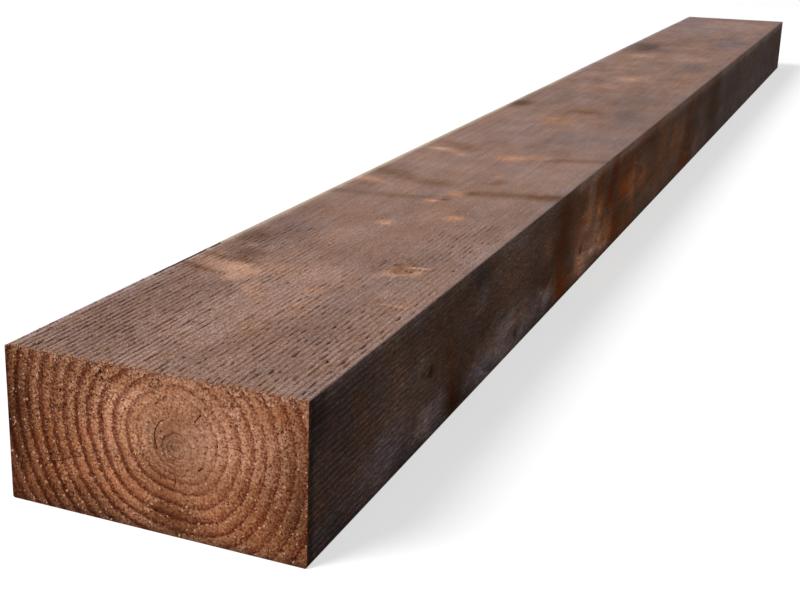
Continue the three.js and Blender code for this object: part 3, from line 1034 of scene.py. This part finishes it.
# %% Knots
flat = add(tree, "VectorMath", {0: knot_place, 1: (1, 1, 0)}, operation="MULTIPLY")
centre_far = add(tree, "VectorMath", {0: flat}, operation="LENGTH").outputs["Value"]
knot_noise = add(tree, "TexNoise", {"Vector": knot_place, "Scale": 1.1, "Detail": 4.0})
knot_far = add(tree, "Math", {0: knot_noise, 1: 1.2, 2: centre_far}, operation="MULTIPLY_ADD")
knot_far = add(tree, "Math", {0: knot_far, 1: 0.6}, operation="SUBTRACT")
knot_disc = add(tree, "MapRange", {"Value": knot_far, "From Min": 1.25, "From Max": 0.45})
knot_turn = add(tree, "Math", {0: knot_far, 1: 24.0}, operation="MULTIPLY")
knot_ring = add(tree, "Math", {0: knot_turn}, operation="SINE")
off_rim = add(tree, "Math", {0: knot_far, 1: 1.0}, operation="SUBTRACT")
off_rim = add(tree, "Math", {0: off_rim}, operation="ABSOLUTE")
knot_rim = add(tree, "MapRange", {"Value": off_rim, "From Min": 0.30, "From Max": 0.0})
knot_heart = add(tree, "MapRange", {"Value": knot_far, "From Min": 0.45, "From Max": 0.05})
off_knot = add(tree, "Math", {0: knot_disc, 1: -0.8, 2: 1.0}, operation="MULTIPLY_ADD")
tears = add(tree, "Math", {0: tears, 1: off_knot}, operation="MULTIPLY")  # hard wood doesn't tear
print("with the knots,", len(tree.nodes), "nodes")

# %% [markdown]
# A ring shows on a long face as a band that darkens slowly and ends at a line. The torn fibres hide most of
# it, so it only tints the wood.

# %% Ring bands on the long faces
waver = add(tree, "Math", {0: mottle, 1: 0.35, 2: here["age"]}, operation="MULTIPLY_ADD")
year_part = add(tree, "Math", {0: waver}, operation="FRACT")
turning = add(tree, "MapRange", {"Value": year_part, "From Min": 0.15, "From Max": 0.95})
line_start = add(tree, "Math", {0: 1.0, 1: here["late_width"]}, operation="SUBTRACT")
late_line = add(tree, "MapRange", {"Value": year_part, "From Min": line_start, "From Max": 1.0})
ring_late = add(tree, "Math", {0: late_line, 1: 0.5, 2: turning}, operation="MULTIPLY_ADD")
print("with the ring bands,", len(tree.nodes), "nodes")

# %% [markdown]
# Two browns, a plain one and a dusty one, are mixed by the mottling. The wide faces are the paler pair,
# because they lie open, and the sides' darker pair is partly painted shade. Then each pattern makes the
# brown a little lighter and darker. They are multiplied together as one shade first, because one shade can
# be turned to a warmer tone in the dark and a greyer one in the light.

# %% Mix the long-grain colour
plain = add(tree, "Mix", {"Factor": here["bloom_and_side_shade"], "A": linear("#664939"), "B": linear("#8B6D5E")},
            data_type="RGBA")
dusty = add(tree, "Mix", {"Factor": here["bloom_and_side_shade"], "A": linear("#5E4A41"), "B": linear("#886E65")},
            data_type="RGBA")
hue_share = add(tree, "Math", {0: mottle, 1: fine}, operation="ADD")
hue_share = add(tree, "MapRange", {"Value": hue_share, "From Min": 0.75, "From Max": 1.25})
colour = add(tree, "Mix", {"Factor": hue_share, "A": plain, "B": dusty}, data_type="RGBA")
shade = None
# how strong each pattern is on the sides and on the wide faces
for pattern, side_gain, wide_gain in ((fine, 1.6, 0.9), (thread, 1.6, 0.7), (speckle, 1.6, 1.2),
                                      (dust, 1.0, 1.3)):
    gain = add(tree, "MapRange", {"Value": here["bloom_and_side_shade"], "To Min": side_gain, "To Max": wide_gain})
    gain = add(tree, "Math", {0: gain, 1: here["coarse"]}, operation="MULTIPLY")
    part = add(tree, "Math", {0: pattern, 1: 0.5}, operation="SUBTRACT")
    part = add(tree, "Math", {0: part, 1: gain, 2: 1.0}, operation="MULTIPLY_ADD")
    shade = part if shade is None else add(tree, "Math", {0: shade, 1: part}, operation="MULTIPLY")
for pattern, side_gain, wide_gain in ((streak, 0.60, 0.32), (blotch, 0.60, 0.55)):
    gain = add(tree, "MapRange", {"Value": here["bloom_and_side_shade"], "To Min": side_gain, "To Max": wide_gain})
    part = add(tree, "Math", {0: pattern, 1: 0.5}, operation="SUBTRACT")
    part = add(tree, "Math", {0: part, 1: gain, 2: 1.0}, operation="MULTIPLY_ADD")
    shade = add(tree, "Math", {0: shade, 1: part}, operation="MULTIPLY")
ring_part = add(tree, "Math", {0: ring_late, 1: here["ring_show"]}, operation="MULTIPLY")
ring_gain = add(tree, "Math", {0: ring_part, 1: -0.26, 2: 1.07}, operation="MULTIPLY_ADD")
shade = add(tree, "Math", {0: shade, 1: ring_gain}, operation="MULTIPLY")
# painted shade in the grooves of the rows and painted highlight on their ridges, over the mesh's real grooves
low_row = add(tree, "Math", {0: groove, 1: -0.5}, operation="ADD")
low_row = add(tree, "Math", {0: low_row, 1: row_split.outputs["Z"]}, operation="MULTIPLY")
groove_shade_strength = add(tree, "MapRange", {"Value": here["bloom_and_side_shade"], "To Min": -0.30, "To Max": -0.26})
painted_groove_shade = add(tree, "Math", {0: low_row, 1: groove_shade_strength, 2: 1.0}, operation="MULTIPLY_ADD")
shade = add(tree, "Math", {0: shade, 1: painted_groove_shade}, operation="MULTIPLY")
colour = shaded(tree, colour, shade, (0, 0.20, 0.32))
print("with the colour,", len(tree.nodes), "nodes")

# %% [markdown]
# Knots are laid over the brown, half see-through, because the preservative covers them too. The stains come
# last and multiply everything, as the washes that they are; on the right side they also carry painted shade
# and painted light.

# %% Lay the knots over it, then the stains and the painted shade
sound = add(tree, "Mix", {"Factor": here["bloom_and_side_shade"], "A": linear("#7A4B30"), "B": linear("#A88472")},
            data_type="RGBA")
sound = add(tree, "Mix", {"Factor": 0.5, "A": sound, "B": colour}, data_type="RGBA")
dead = add(tree, "Mix", {"Factor": here["bloom_and_side_shade"], "A": linear("#2E1D15"), "B": linear("#6A4330")},
           data_type="RGBA")
knot_kind = add(tree, "MapRange", {"Value": here["knot_look"], "From Min": -0.9, "From Max": 0.3})
knot_colour = add(tree, "Mix", {"Factor": knot_kind, "A": dead, "B": sound}, data_type="RGBA")
knot_shade = add(tree, "Math", {0: knot_ring, 1: 0.03, 2: 0.30}, operation="MULTIPLY_ADD")
knot_shade = add(tree, "Math", {0: thread, 1: 0.8, 2: knot_shade}, operation="MULTIPLY_ADD")
knot_shade = add(tree, "Math", {0: knot_noise, 1: 0.6, 2: knot_shade}, operation="MULTIPLY_ADD")
knot_colour = add(tree, "VectorMath", {0: knot_colour, "Scale": knot_shade}, operation="SCALE")
knot_share = add(tree, "Math", {0: knot_disc, 1: 0.70}, operation="MULTIPLY")
colour = add(tree, "Mix", {"Factor": knot_share, "A": colour, "B": knot_colour}, data_type="RGBA")
dark = add(tree, "MapRange", {"Value": here["knot_look"], "From Min": 0.5, "From Max": -0.9, "To Min": 0.0,
                              "To Max": 0.75})
for part in (knot_rim, knot_heart):
    share = add(tree, "Math", {0: part, 1: dark}, operation="MULTIPLY")
    colour = add(tree, "Mix", {"Factor": share, "A": colour, "B": linear("#3C2418")}, data_type="RGBA")
colour = add(tree, "VectorMath", {0: colour, 1: stain_and_shade_colour}, operation="MULTIPLY")
print("with the knots' colour and the stains,", len(tree.nodes), "nodes")

# %% [markdown]
# A tear is dark because light hardly gets into it, so it multiplies the brown that is there, and only the
# deepest ones go nearly black. Beside the tears single lifted grains catch the light.

# %% Tears, pale grains and the rubbed arris
grain_share = add(tree, "Math", {0: here["torn"], 1: 0.40}, operation="MULTIPLY")
grains = marks(tree, fibre, (2.2, 3.2), (0.75, 1.2), grain_share)  # lifted grains that catch the light
grains = add(tree, "Math", {0: grains, 1: 0.40, 2: 1.0}, operation="MULTIPLY_ADD")
colour = add(tree, "VectorMath", {0: colour, "Scale": grains}, operation="SCALE")
dark_tears = add(tree, "Mix", {"Factor": 1.0, "A": colour, "B": linear("#8C6A60")}, data_type="RGBA",
                 blend_type="MULTIPLY")
tear_part = add(tree, "Math", {0: tears, 1: 0.85}, operation="MULTIPLY")
colour = add(tree, "Mix", {"Factor": tear_part, "A": colour, "B": dark_tears}, data_type="RGBA")
colour = add(tree, "Mix", {"Factor": deepest, "A": colour, "B": linear("#2A1812")}, data_type="RGBA")
colour = add(tree, "Mix", {"Factor": here["rubbed"], "A": colour, "B": linear("#CFC3A0")}, data_type="RGBA")
# painted shade: the chips are drawn nearly black inside
painted_chip_shade = add(tree, "MapRange", {"Value": here["chipped"], "From Min": 0.15, "From Max": 0.45, "To Max": 0.9})
colour = add(tree, "Mix", {"Factor": painted_chip_shade, "A": colour, "B": linear("#1E1512")}, data_type="RGBA")
print("with the tears' colour,", len(tree.nodes), "nodes")

# %% [markdown]
# Cut fibre ends bend over the rim and carry the end's orange a few millimetres onto the long faces. The
# grooves between the rows run out over it as notches, painted dark as painted shade.

# %% Orange fuzz over the rim
fuzz = add(tree, "Math", {0: clumps, 1: 2.4, 2: here["rim"]}, operation="MULTIPLY_ADD")
fuzz = add(tree, "Math", {0: speckle, 1: 0.6, 2: fuzz}, operation="MULTIPLY_ADD")
fuzz = add(tree, "MapRange", {"Value": fuzz, "From Min": 2.00, "From Max": 2.30, "To Max": 0.85})
fuzz_colour = add(tree, "Mix", {"Factor": here["bloom_and_side_shade"], "A": linear("#5A3624"), "B": linear("#9A6647")},
                  data_type="RGBA")
fuzz_colour = add(tree, "VectorMath", {0: fuzz_colour, "Scale": shade}, operation="SCALE")
colour = add(tree, "Mix", {"Factor": fuzz, "A": colour, "B": fuzz_colour}, data_type="RGBA")
painted_notch_shade = add(tree, "MapRange", {"Value": here["rim"], "From Min": 0.30, "From Max": 0.8})
painted_notch_shade = add(tree, "Math", {0: painted_notch_shade, 1: sharp_groove}, operation="MULTIPLY")
broken = add(tree, "MapRange", {"Value": thread, "From Min": 0.62, "From Max": 0.45})
painted_notch_shade = add(tree, "Math", {0: painted_notch_shade, 1: broken}, operation="MULTIPLY")
colour = add(tree, "Mix", {"Factor": painted_notch_shade, "A": colour, "B": linear("#4A2C20")}, data_type="RGBA")
print("with the rim,", len(tree.nodes), "nodes")

# %% [markdown]
# What is too fine for the mesh goes into a bump: the tears again, and the fibres at half their real height
# or so. The wood is matt. A torn surface has almost no flat spots to mirror the sky, so its specular level
# is next to nothing.

# %% Relief too fine for the mesh, and the surface
BUMP_UNIT = 0.001  # heights are in millimetres
height = add(tree, "Math", {0: tears, 1: -0.40}, operation="MULTIPLY")
for pattern, gain in ((fine, 0.20), (streak, 0.20), (speckle, 0.20), (dust, 0.15), (knot_rim, -0.10)):
    height = add(tree, "Math", {0: pattern, 1: gain, 2: height}, operation="MULTIPLY_ADD")
bumps = add(tree, "Bump", {"Height": height, "Distance": BUMP_UNIT, "Strength": 1.0})
skin = add(tree, "BsdfPrincipled", {"Base Color": colour, "Roughness": 0.82, "IOR": 1.5,
                                    "Specular IOR Level": 0.02, "Normal": bumps})
add(tree, "OutputMaterial", {"Surface": skin})
timber_mesh.materials.append(long_grain)
print("long grain material has", len(tree.nodes), "nodes")

# %% [markdown]
# ## Cross-cut ends
# The same spruce cut across its fibres. The saw leaves the dense latewood smooth and dark and tears the
# soft earlywood into a paler fuzz, and the preservative soaks deep into the open fibre ends. What that
# gives the eye: an orange brown with clear rings, grainy all over with pale specks of lifted fibre and
# small dark pits.

# %% Read the wood for the end grain
end_grain, tree = new_material("spruce cross-cut, brown preservative")
here = {name: add(tree, "Attribute", attribute_name=name).outputs["Fac"]
        for name in ("age", "torn", "ring_show", "late_width", "hole")}
section = add(tree, "Attribute", attribute_name="cut").outputs["Vector"]
ray_place = add(tree, "Attribute", attribute_name="ray").outputs["Vector"]
stain_and_shade_colour = add(tree, "Attribute", attribute_name="stain_and_painted_shade").outputs["Vector"]
crack_place = add(tree, "SeparateXYZ", {0: add(tree, "Attribute", attribute_name="crack").outputs["Vector"]})

# a cut fibre is 0.03 mm wide; the bundles that tear out are 1 to 4 mm, and those are what shows
grit = variation(tree, section, (1.7, 1.7), 2.0, 0.75)
clumps = variation(tree, section, (4.2, 4.2), 2.0)
blotch = variation(tree, section, (11.0, 11.0), 3.0, 0.6)
# wood rays run out from the pith, so their pattern is fine round the pith and long away from it
around = add(tree, "VectorMath", {0: ray_place, 1: (26, 26, 1 / 14)}, operation="MULTIPLY")
ray_lines = add(tree, "TexNoise", {"Vector": around, "Scale": 1.0, "Detail": 2.0})
year_number = add(tree, "Math", {0: here["age"]}, operation="FLOOR")
year_tone = add(tree, "TexWhiteNoise", {"W": year_number}, noise_dimensions="1D")  # no two years are alike
print("wood read by", len(tree.nodes), "nodes")

# %% [markdown]
# Each year starts pale and fuzzy, turns orange brown past its middle and ends in a dark line with a sharp
# outer edge. A little noise on the age makes the line ragged. Near the pith the rings are faint.

# %% Rings on the end
ragged = add(tree, "MapRange", {"Value": clumps, "To Min": -0.11, "To Max": 0.11})
ragged = add(tree, "Math", {0: ragged, 1: here["age"]}, operation="ADD")
ragged = add(tree, "Math", {0: grit, 1: 0.12, 2: ragged}, operation="MULTIPLY_ADD")
ragged = add(tree, "Math", {0: ragged, 1: 0.10}, operation="SUBTRACT")
year_part = add(tree, "Math", {0: ragged}, operation="FRACT")
turning = add(tree, "MapRange", {"Value": year_part, "From Min": 0.32, "From Max": 0.78, "To Max": 0.85})
line_start = add(tree, "Math", {0: 1.0, 1: here["late_width"]}, operation="SUBTRACT")
line_full = add(tree, "Math", {0: line_start, 1: 0.16}, operation="ADD")
late_line = add(tree, "MapRange", {"Value": year_part, "From Min": line_start, "From Max": line_full})
after_line = add(tree, "MapRange", {"Value": year_part, "From Min": 0.13, "From Max": 0.0, "To Max": 0.7})
late_line = add(tree, "Math", {0: late_line, 1: after_line}, operation="MAXIMUM")
turning = add(tree, "Math", {0: turning, 1: after_line}, operation="MAXIMUM")
# thin lines are dotted, wide ones are solid
solid = add(tree, "MapRange", {"Value": here["late_width"], "From Min": 0.18, "From Max": 0.32,
                               "To Min": 0.60})
dots = add(tree, "MapRange", {"Value": grit, "From Min": 0.62, "From Max": 0.42})
solid = add(tree, "Math", {0: solid, 1: dots}, operation="MAXIMUM")
late_line = add(tree, "Math", {0: late_line, 1: solid}, operation="MULTIPLY")
strength = add(tree, "MapRange", {"Value": year_tone, "To Min": 0.80, "To Max": 1.20})
strength = add(tree, "Math", {0: strength, 1: here["ring_show"]}, operation="MULTIPLY")
turning = add(tree, "Math", {0: turning, 1: strength}, operation="MULTIPLY")
late_line = add(tree, "Math", {0: late_line, 1: strength}, operation="MULTIPLY")
late_part = add(tree, "Math", {0: late_line, 1: 0.68}, operation="MULTIPLY")
colour = add(tree, "Mix", {"Factor": turning, "A": linear("#A66F4F"), "B": linear("#7B3E24")},
             data_type="RGBA")
colour = add(tree, "Mix", {"Factor": late_part, "A": colour, "B": linear("#4E2010")}, data_type="RGBA")
early = add(tree, "MapRange", {"Value": year_part, "From Min": 0.60, "From Max": 0.20})
print("with the rings,", len(tree.nodes), "nodes")

# %% [markdown]
# Bundles of fibre stand up or are sunk by a fraction of a millimetre. Sunk ones are dark, by a power, as
# light falls off in a hole, and raised ones are mixed towards a pale brown. Latewood is cut cleaner, so it
# varies less.

# %% Tone of the fibre bundles and of the larger patches
rough_gain = add(tree, "MapRange", {"Value": here["torn"], "To Min": 0.45, "To Max": 1.1})
held_late = add(tree, "Math", {0: late_line, 1: -0.50, 2: 1.0}, operation="MULTIPLY_ADD")
patchy = add(tree, "MapRange", {"Value": blotch, "From Min": 0.35, "From Max": 0.65, "To Min": 0.70,
                                "To Max": 1.2})
loose = add(tree, "MapRange", {"Value": grit, "From Min": 0.28, "From Max": 0.72, "To Min": -1.0,
                               "To Max": 1.0})
for part in (rough_gain, held_late, patchy):
    loose = add(tree, "Math", {0: loose, 1: part}, operation="MULTIPLY")
sunk = add(tree, "Math", {0: loose, 1: 0.0}, operation="MINIMUM")
shade = add(tree, "Math", {0: 2.8, 1: sunk}, operation="POWER")
for pattern, gain in ((clumps, 0.8), (blotch, 0.5), (ray_lines, 0.30)):
    part = add(tree, "Math", {0: pattern, 1: gain, 2: 1 - gain / 2}, operation="MULTIPLY_ADD")
    shade = add(tree, "Math", {0: shade, 1: part}, operation="MULTIPLY")
colour = shaded(tree, colour, shade, (0, 0.30, 0.75))
lifted = add(tree, "MapRange", {"Value": loose, "From Min": 0.0, "From Max": 1.0, "To Max": 0.75})
colour = add(tree, "Mix", {"Factor": lifted, "A": colour, "B": linear("#C69478")}, data_type="RGBA")
colour = add(tree, "VectorMath", {0: colour, 1: stain_and_shade_colour}, operation="MULTIPLY")
print("with the bundles,", len(tree.nodes), "nodes")

# %% [markdown]
# The first wood round the pith also has close, faint rings, finer than its years.

# %% Faint rings in the first years
FAINT_RING_MM = 1.3
ray_split = add(tree, "SeparateXYZ", {0: ray_place})
turns = add(tree, "Math", {0: ray_split.outputs["Z"], 1: 2 * math.pi / FAINT_RING_MM}, operation="MULTIPLY")
turns = add(tree, "Math", {0: clumps, 1: 3.0, 2: turns}, operation="MULTIPLY_ADD")
turns = add(tree, "Math", {0: turns}, operation="SINE")
near_pith = add(tree, "MapRange", {"Value": ray_split.outputs["Z"], "From Min": 15.0, "From Max": 7.0,
                                   "To Max": 0.16})
turns = add(tree, "Math", {0: turns, 1: near_pith, 2: 1.0}, operation="MULTIPLY_ADD")
colour = add(tree, "VectorMath", {0: colour, "Scale": turns}, operation="SCALE")
print("with the faint rings,", len(tree.nodes), "nodes")

# %% [markdown]
# Lifted fibre ends catch the light as pale specks, most of them in the fuzzy earlywood. Where the saw
# pulled a bundle out there is a pit, painted dark as painted shade in the hole.

# %% Specks and pits
speck_share = add(tree, "Math", {0: early, 1: 0.30, 2: 0.05}, operation="MULTIPLY_ADD")
speck_share = add(tree, "Math", {0: speck_share, 1: rough_gain}, operation="MULTIPLY")
speck_share = add(tree, "Math", {0: speck_share, 1: patchy}, operation="MULTIPLY")
specks = marks(tree, section, (2.6, 2.6), (1.15, 1.15), speck_share)
pit_share = add(tree, "Math", {0: here["torn"], 1: 0.15, 2: 0.01}, operation="MULTIPLY_ADD")
small_pits = marks(tree, section, (2.4, 2.4), (0.95, 0.95), pit_share)
holes = add(tree, "MapRange", {"Value": here["hole"], "From Min": 0.35, "From Max": 0.75})
pitted = add(tree, "Math", {0: small_pits, 1: holes}, operation="MAXIMUM")
speck_part = add(tree, "Math", {0: specks, 1: 0.70}, operation="MULTIPLY")
colour = add(tree, "Mix", {"Factor": speck_part, "A": colour, "B": linear("#D6A68A")}, data_type="RGBA")
pit_painted_shade = add(tree, "Math", {0: pitted, 1: 0.60}, operation="MULTIPLY")
colour = add(tree, "Mix", {"Factor": pit_painted_shade, "A": colour, "B": linear("#4C200C")}, data_type="RGBA")
print("with the specks and pits,", len(tree.nodes), "nodes")

# %% [markdown]
# A crack is drawn where a point's distance to one side of it is less than half its width, and only between
# its ends. It is drawn nearly black, as painted shade in the narrow gap.

# %% Cracks
beside = add(tree, "Math", {0: crack_place.outputs["X"]}, operation="ABSOLUTE")
inside = add(tree, "Math", {0: crack_place.outputs["Z"], 1: 0.5, 2: 0.0}, operation="MULTIPLY_ADD")
inside = add(tree, "Math", {0: inside, 1: beside}, operation="SUBTRACT")
inside = add(tree, "MapRange", {"Value": inside, "From Min": -0.12, "From Max": 0.12})
share = add(tree, "Math", {0: crack_place.outputs["Y"], 1: 0.5}, operation="SUBTRACT")
share = add(tree, "Math", {0: share}, operation="ABSOLUTE")
within = add(tree, "Math", {0: share, 1: 0.55}, operation="LESS_THAN")
cracked = add(tree, "Math", {0: inside, 1: within}, operation="MULTIPLY")
crack_painted_shade = add(tree, "Math", {0: cracked, 1: 0.9}, operation="MULTIPLY")
colour = add(tree, "Mix", {"Factor": crack_painted_shade, "A": colour, "B": linear("#23130C")}, data_type="RGBA")
print("with the cracks,", len(tree.nodes), "nodes")

# %% [markdown]
# The same marks give the end its fine relief: specks stand up, pits and cracks are sunk, and the fuzz is
# roughest where the wood is torn most.

# %% The end's surface
height = add(tree, "Math", {0: here["torn"], 1: 0.50, 2: 0.15}, operation="MULTIPLY_ADD")
height = add(tree, "Math", {0: grit, 1: height}, operation="MULTIPLY")
height = add(tree, "Math", {0: pitted, 1: -0.45, 2: height}, operation="MULTIPLY_ADD")
height = add(tree, "Math", {0: specks, 1: 0.30, 2: height}, operation="MULTIPLY_ADD")
height = add(tree, "Math", {0: cracked, 1: -0.5, 2: height}, operation="MULTIPLY_ADD")
bumps = add(tree, "Bump", {"Height": height, "Distance": BUMP_UNIT, "Strength": 1.0})
skin = add(tree, "BsdfPrincipled", {"Base Color": colour, "Roughness": 0.85, "IOR": 1.5,
                                    "Specular IOR Level": 0.05, "Normal": bumps})
add(tree, "OutputMaterial", {"Surface": skin})
timber_mesh.materials.append(end_grain)
print("end grain material has", len(tree.nodes), "nodes")

# %% [markdown]
# The faces of the two cut ends get the second material. A face is on an end if it looks along the grain and
# lies within a few millimetres of the end.

# %% Give the ends their material
ALONG_GRAIN, NEAR_AN_END = 0.5, 1.195  # how squarely a face looks along the grain, and metres from the middle
centres = np.empty(len(timber_mesh.polygons) * 3)
normals = np.empty(len(timber_mesh.polygons) * 3)
timber_mesh.polygons.foreach_get("center", centres)
timber_mesh.polygons.foreach_get("normal", normals)
facing_end = np.abs(normals.reshape(-1, 3)[:, 1]) > ALONG_GRAIN
facing_end &= np.abs(centres.reshape(-1, 3)[:, 1]) > NEAR_AN_END
timber_mesh.polygons.foreach_set("material_index", facing_end.astype(np.int32))
timber_mesh.update()
print(int(facing_end.sum()), "faces of end grain")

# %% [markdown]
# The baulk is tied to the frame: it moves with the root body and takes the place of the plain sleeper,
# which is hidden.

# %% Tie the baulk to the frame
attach(timber, "root")
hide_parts("sleeper")
print(timber.name, "replaces the plain sleeper")

# %% [markdown]
# ## Splinters
# Where a saw tears softwood it leaves splinters, thin bundles of fibre that are still rooted in the wood.
# On the end they catch the light as pale specks, and on the top they throw small shadows beside the tears.
# A hair system could draw them, but hair isn't a mesh and would not be exported. So each is a three-sided
# cone of a few triangles that the cone operator makes where a matrix puts it. Thousands of these stay
# cheap.

# %% [markdown]
# Their material is raw spruce fibre, brown where the preservative took and pale where it broke later. What
# that gives the eye: dull and slightly silky, from dark brown to nearly white.

# %% The splinters' material
loose_fibre, tree = new_material("broken spruce fibre")
tint = add(tree, "Attribute", attribute_name="tint").outputs["Fac"]
spot = add(tree, "TexCoord").outputs["Object"]
patchy = add(tree, "TexNoise", {"Vector": spot, "Scale": 900.0, "Detail": 2.0})  # features of about 1 mm
tint = add(tree, "Math", {0: patchy, 1: 0.5, 2: tint}, operation="MULTIPLY_ADD")
tint = add(tree, "Math", {0: tint, 1: 0.25}, operation="SUBTRACT")
colour = add(tree, "Mix", {"Factor": tint, "A": linear("#7A482A"), "B": linear("#E2BC9A")}, data_type="RGBA")
skin = add(tree, "BsdfPrincipled", {"Base Color": colour, "Roughness": 0.65, "IOR": 1.5,
                                    "Specular IOR Level": 0.3})
add(tree, "OutputMaterial", {"Surface": skin})
print("splinter material has", len(tree.nodes), "nodes")

# %% [markdown]
# One helper plants them all, because only their places, leans and sizes differ. A bmesh slows down as it
# grows, so the splinters are made in batches that are joined at the end. Each gets a tint of its own, kept
# as an attribute.

# %% A helper that plants splinters
BATCH = 200
TIP = 0.35  # the tip's width as a share of the root's


def plant(name, roots, leans, lengths, widths, tints):
    """One piece of many splinters. Each starts at its root, in mm, and grows the way it leans."""
    whole, part = bmesh.new(), None
    for number, (root, lean, length, width, tint) in enumerate(zip(roots, leans, lengths, widths, tints)):
        if number % BATCH == 0:
            part = bmesh.new()
            tint_layer = part.verts.layers.float.new("tint")
        lean = Vector(lean).normalized()
        turn = Vector((0, 0, 1)).rotation_difference(lean).to_matrix().to_4x4()
        place = Matrix.Translation(Vector(root) + lean * (length / 2)) @ turn
        cone = bmesh.ops.create_cone(part, cap_ends=True, segments=3, radius1=width, radius2=TIP * width,
                                     depth=length, matrix=place)
        for vert in cone["verts"]:
            vert[tint_layer] = tint
        if number % BATCH == BATCH - 1 or number == len(lengths) - 1:
            batch = bpy.data.meshes.new("batch")
            part.to_mesh(batch)
            part.free()
            whole.from_mesh(batch)
            bpy.data.meshes.remove(batch)
    bmesh.ops.recalc_face_normals(whole, faces=whole.faces)
    mesh = bpy.data.meshes.new(name)
    whole.to_mesh(mesh)
    whole.free()
    mesh.transform(Matrix.Scale(1 / MM_PER_M, 4))
    mesh.materials.append(loose_fibre)
    piece = bpy.data.objects.new(name, mesh)
    bpy.context.scene.collection.objects.link(piece)
    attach(piece, "root")
    print(name, len(lengths), "splinters,", len(mesh.polygons), "faces")


print("splinters are made", BATCH, "at a time")

# %% [markdown]
# On the near end the splinters stand mostly in the soft earlywood and towards the top left. Where each
# stands is drawn by chance, apart from a few bright tufts.

# %% Splinters on the near end
# the brightest tufts, as x and z on the end in mm
BRIGHT = [
    (-32.7, 92.1), (-32.2, 87.3), (-28.1, 96), (-24.8, 85.2), (-14.4, 30.5), (-55.4, 16.7), (-35.6, 12.3),
    (-16, 46.1), (-10.1, 49.2), (-80.7, 74.2), (-47.7, 65.7), (-35.4, 36.3), (84.6, 78.2), (80.2, 83.3),
    (66.6, 74), (56.3, 91.8), (34.8, 73), (43.3, 83.7), (24.8, 8.7), (91.4, 94.6), (-86.5, 3.6), (-83.4, 3),
    (-79.4, 2.6), (-76.3, 2.9),
]
draw = np.random.default_rng(71)
TRIES = 9000
tried = np.stack([draw.uniform(-HALF_WIDTH + 3, HALF_WIDTH - 2, TRIES), np.full(TRIES, -HALF_LENGTH),
                  draw.uniform(2, THICKNESS - 2, TRIES)], -1)
years, reach, turn = ring_age(tried, 0)
part = years % 1.0
wanted = np.where((part > 0.12) & (part < 0.6), 0.16, 0.03) * np.clip(reach / 45, 0.15, 1)
wanted *= 1.0 + 0.9 * np.exp(-(((tried[:, 0] + 58) / 40) ** 2) - ((tried[:, 2] - 90) / 40) ** 2)
wanted *= np.clip(1 + 0.8 * waves(tried, 12, 72), 0.2, 2)
roots = tried[draw.random(TRIES) < wanted]
count = len(roots)
tints = np.where(draw.random(count) < 0.5, draw.uniform(0.2, 0.65, count), draw.uniform(0.0, 0.2, count))
IN_A_TUFT = 3
bright = np.array([(x, -HALF_LENGTH, z) for x, z in BRIGHT for _ in range(IN_A_TUFT)])
bright += draw.normal(0, 0.45, bright.shape)
roots = np.concatenate([roots, bright])
tints = np.concatenate([tints, np.full(len(bright), 1.0)])
count = len(roots)
roots[:, 1] = -HALF_LENGTH + 0.6
leans = np.stack([draw.normal(0, 1.0, count), -np.abs(draw.normal(0.5, 0.4, count)) - 0.15,
                  draw.normal(0.2, 1.0, count)], -1)
plant("near_end_fibres", roots, leans, draw.uniform(0.9, 2.0, count), draw.uniform(0.26, 0.50, count), tints)

# %% [markdown]
# Along the top rim of that end they lean every way and soften the edge.

# %% Splinters along the top rim of the near end
draw = np.random.default_rng(72)
RIM_COUNT = 520
roots = np.stack([draw.uniform(-HALF_WIDTH + 1, HALF_WIDTH - 1, RIM_COUNT),
                  -HALF_LENGTH + draw.uniform(0.3, 1.6, RIM_COUNT),
                  THICKNESS - draw.uniform(0.3, 1.2, RIM_COUNT)], -1)
leans = np.stack([draw.normal(0, 0.8, RIM_COUNT), draw.normal(-0.2, 0.8, RIM_COUNT),
                  np.abs(draw.normal(0.5, 0.4, RIM_COUNT)) + 0.1], -1)
tints = draw.uniform(0.0, 1.0, RIM_COUNT) ** 1.6 * 0.8
plant("near_rim_fibres", roots, leans, draw.uniform(0.8, 2.2, RIM_COUNT),
      draw.uniform(0.20, 0.42, RIM_COUNT), tints)

# %% [markdown]
# On the top they lie along the rows, rooted beside the grooves and lifted a little, most of them over the
# first 200 mm.

# %% Splinters on the top
draw = np.random.default_rng(73)
TOP_COUNT = 900
beside_row = np.floor(draw.uniform(0, ROWS_ACROSS, TOP_COUNT)) + draw.normal(0.0, 0.16, TOP_COUNT)
roots = np.stack([beside_row * ROW_ACROSS_MM + ARRIS_RADIUS + 1 - HALF_WIDTH,
                  -HALF_LENGTH + 4 + np.abs(draw.normal(0, 130, TOP_COUNT)),
                  np.full(TOP_COUNT, THICKNESS - 0.35)], -1)
leans = np.stack([draw.normal(0, 0.10, TOP_COUNT), draw.choice([-1, 1], TOP_COUNT),
                  draw.uniform(0.05, 0.30, TOP_COUNT)], -1)
tints = draw.uniform(0.0, 0.5, TOP_COUNT)
plant("top_fibres", roots, leans, draw.uniform(2.0, 5.5, TOP_COUNT),
      draw.uniform(0.16, 0.30, TOP_COUNT), tints)

# %% [markdown]
# The far end was cut by the same saw, and gets a plain scatter of the same splinters.

# %% Splinters on the far end
draw = np.random.default_rng(74)
FAR_COUNT = 600
roots = np.stack([draw.uniform(-HALF_WIDTH + 3, HALF_WIDTH - 3, FAR_COUNT),
                  np.full(FAR_COUNT, HALF_LENGTH - 0.6), draw.uniform(3, THICKNESS - 2, FAR_COUNT)], -1)
leans = np.stack([draw.normal(0, 1.0, FAR_COUNT), np.abs(draw.normal(0.5, 0.4, FAR_COUNT)) + 0.15,
                  draw.normal(0.2, 1.0, FAR_COUNT)], -1)
plant("far_end_fibres", roots, leans, draw.uniform(0.9, 2.0, FAR_COUNT), draw.uniform(0.26, 0.50, FAR_COUNT),
      draw.uniform(0.0, 0.7, FAR_COUNT))
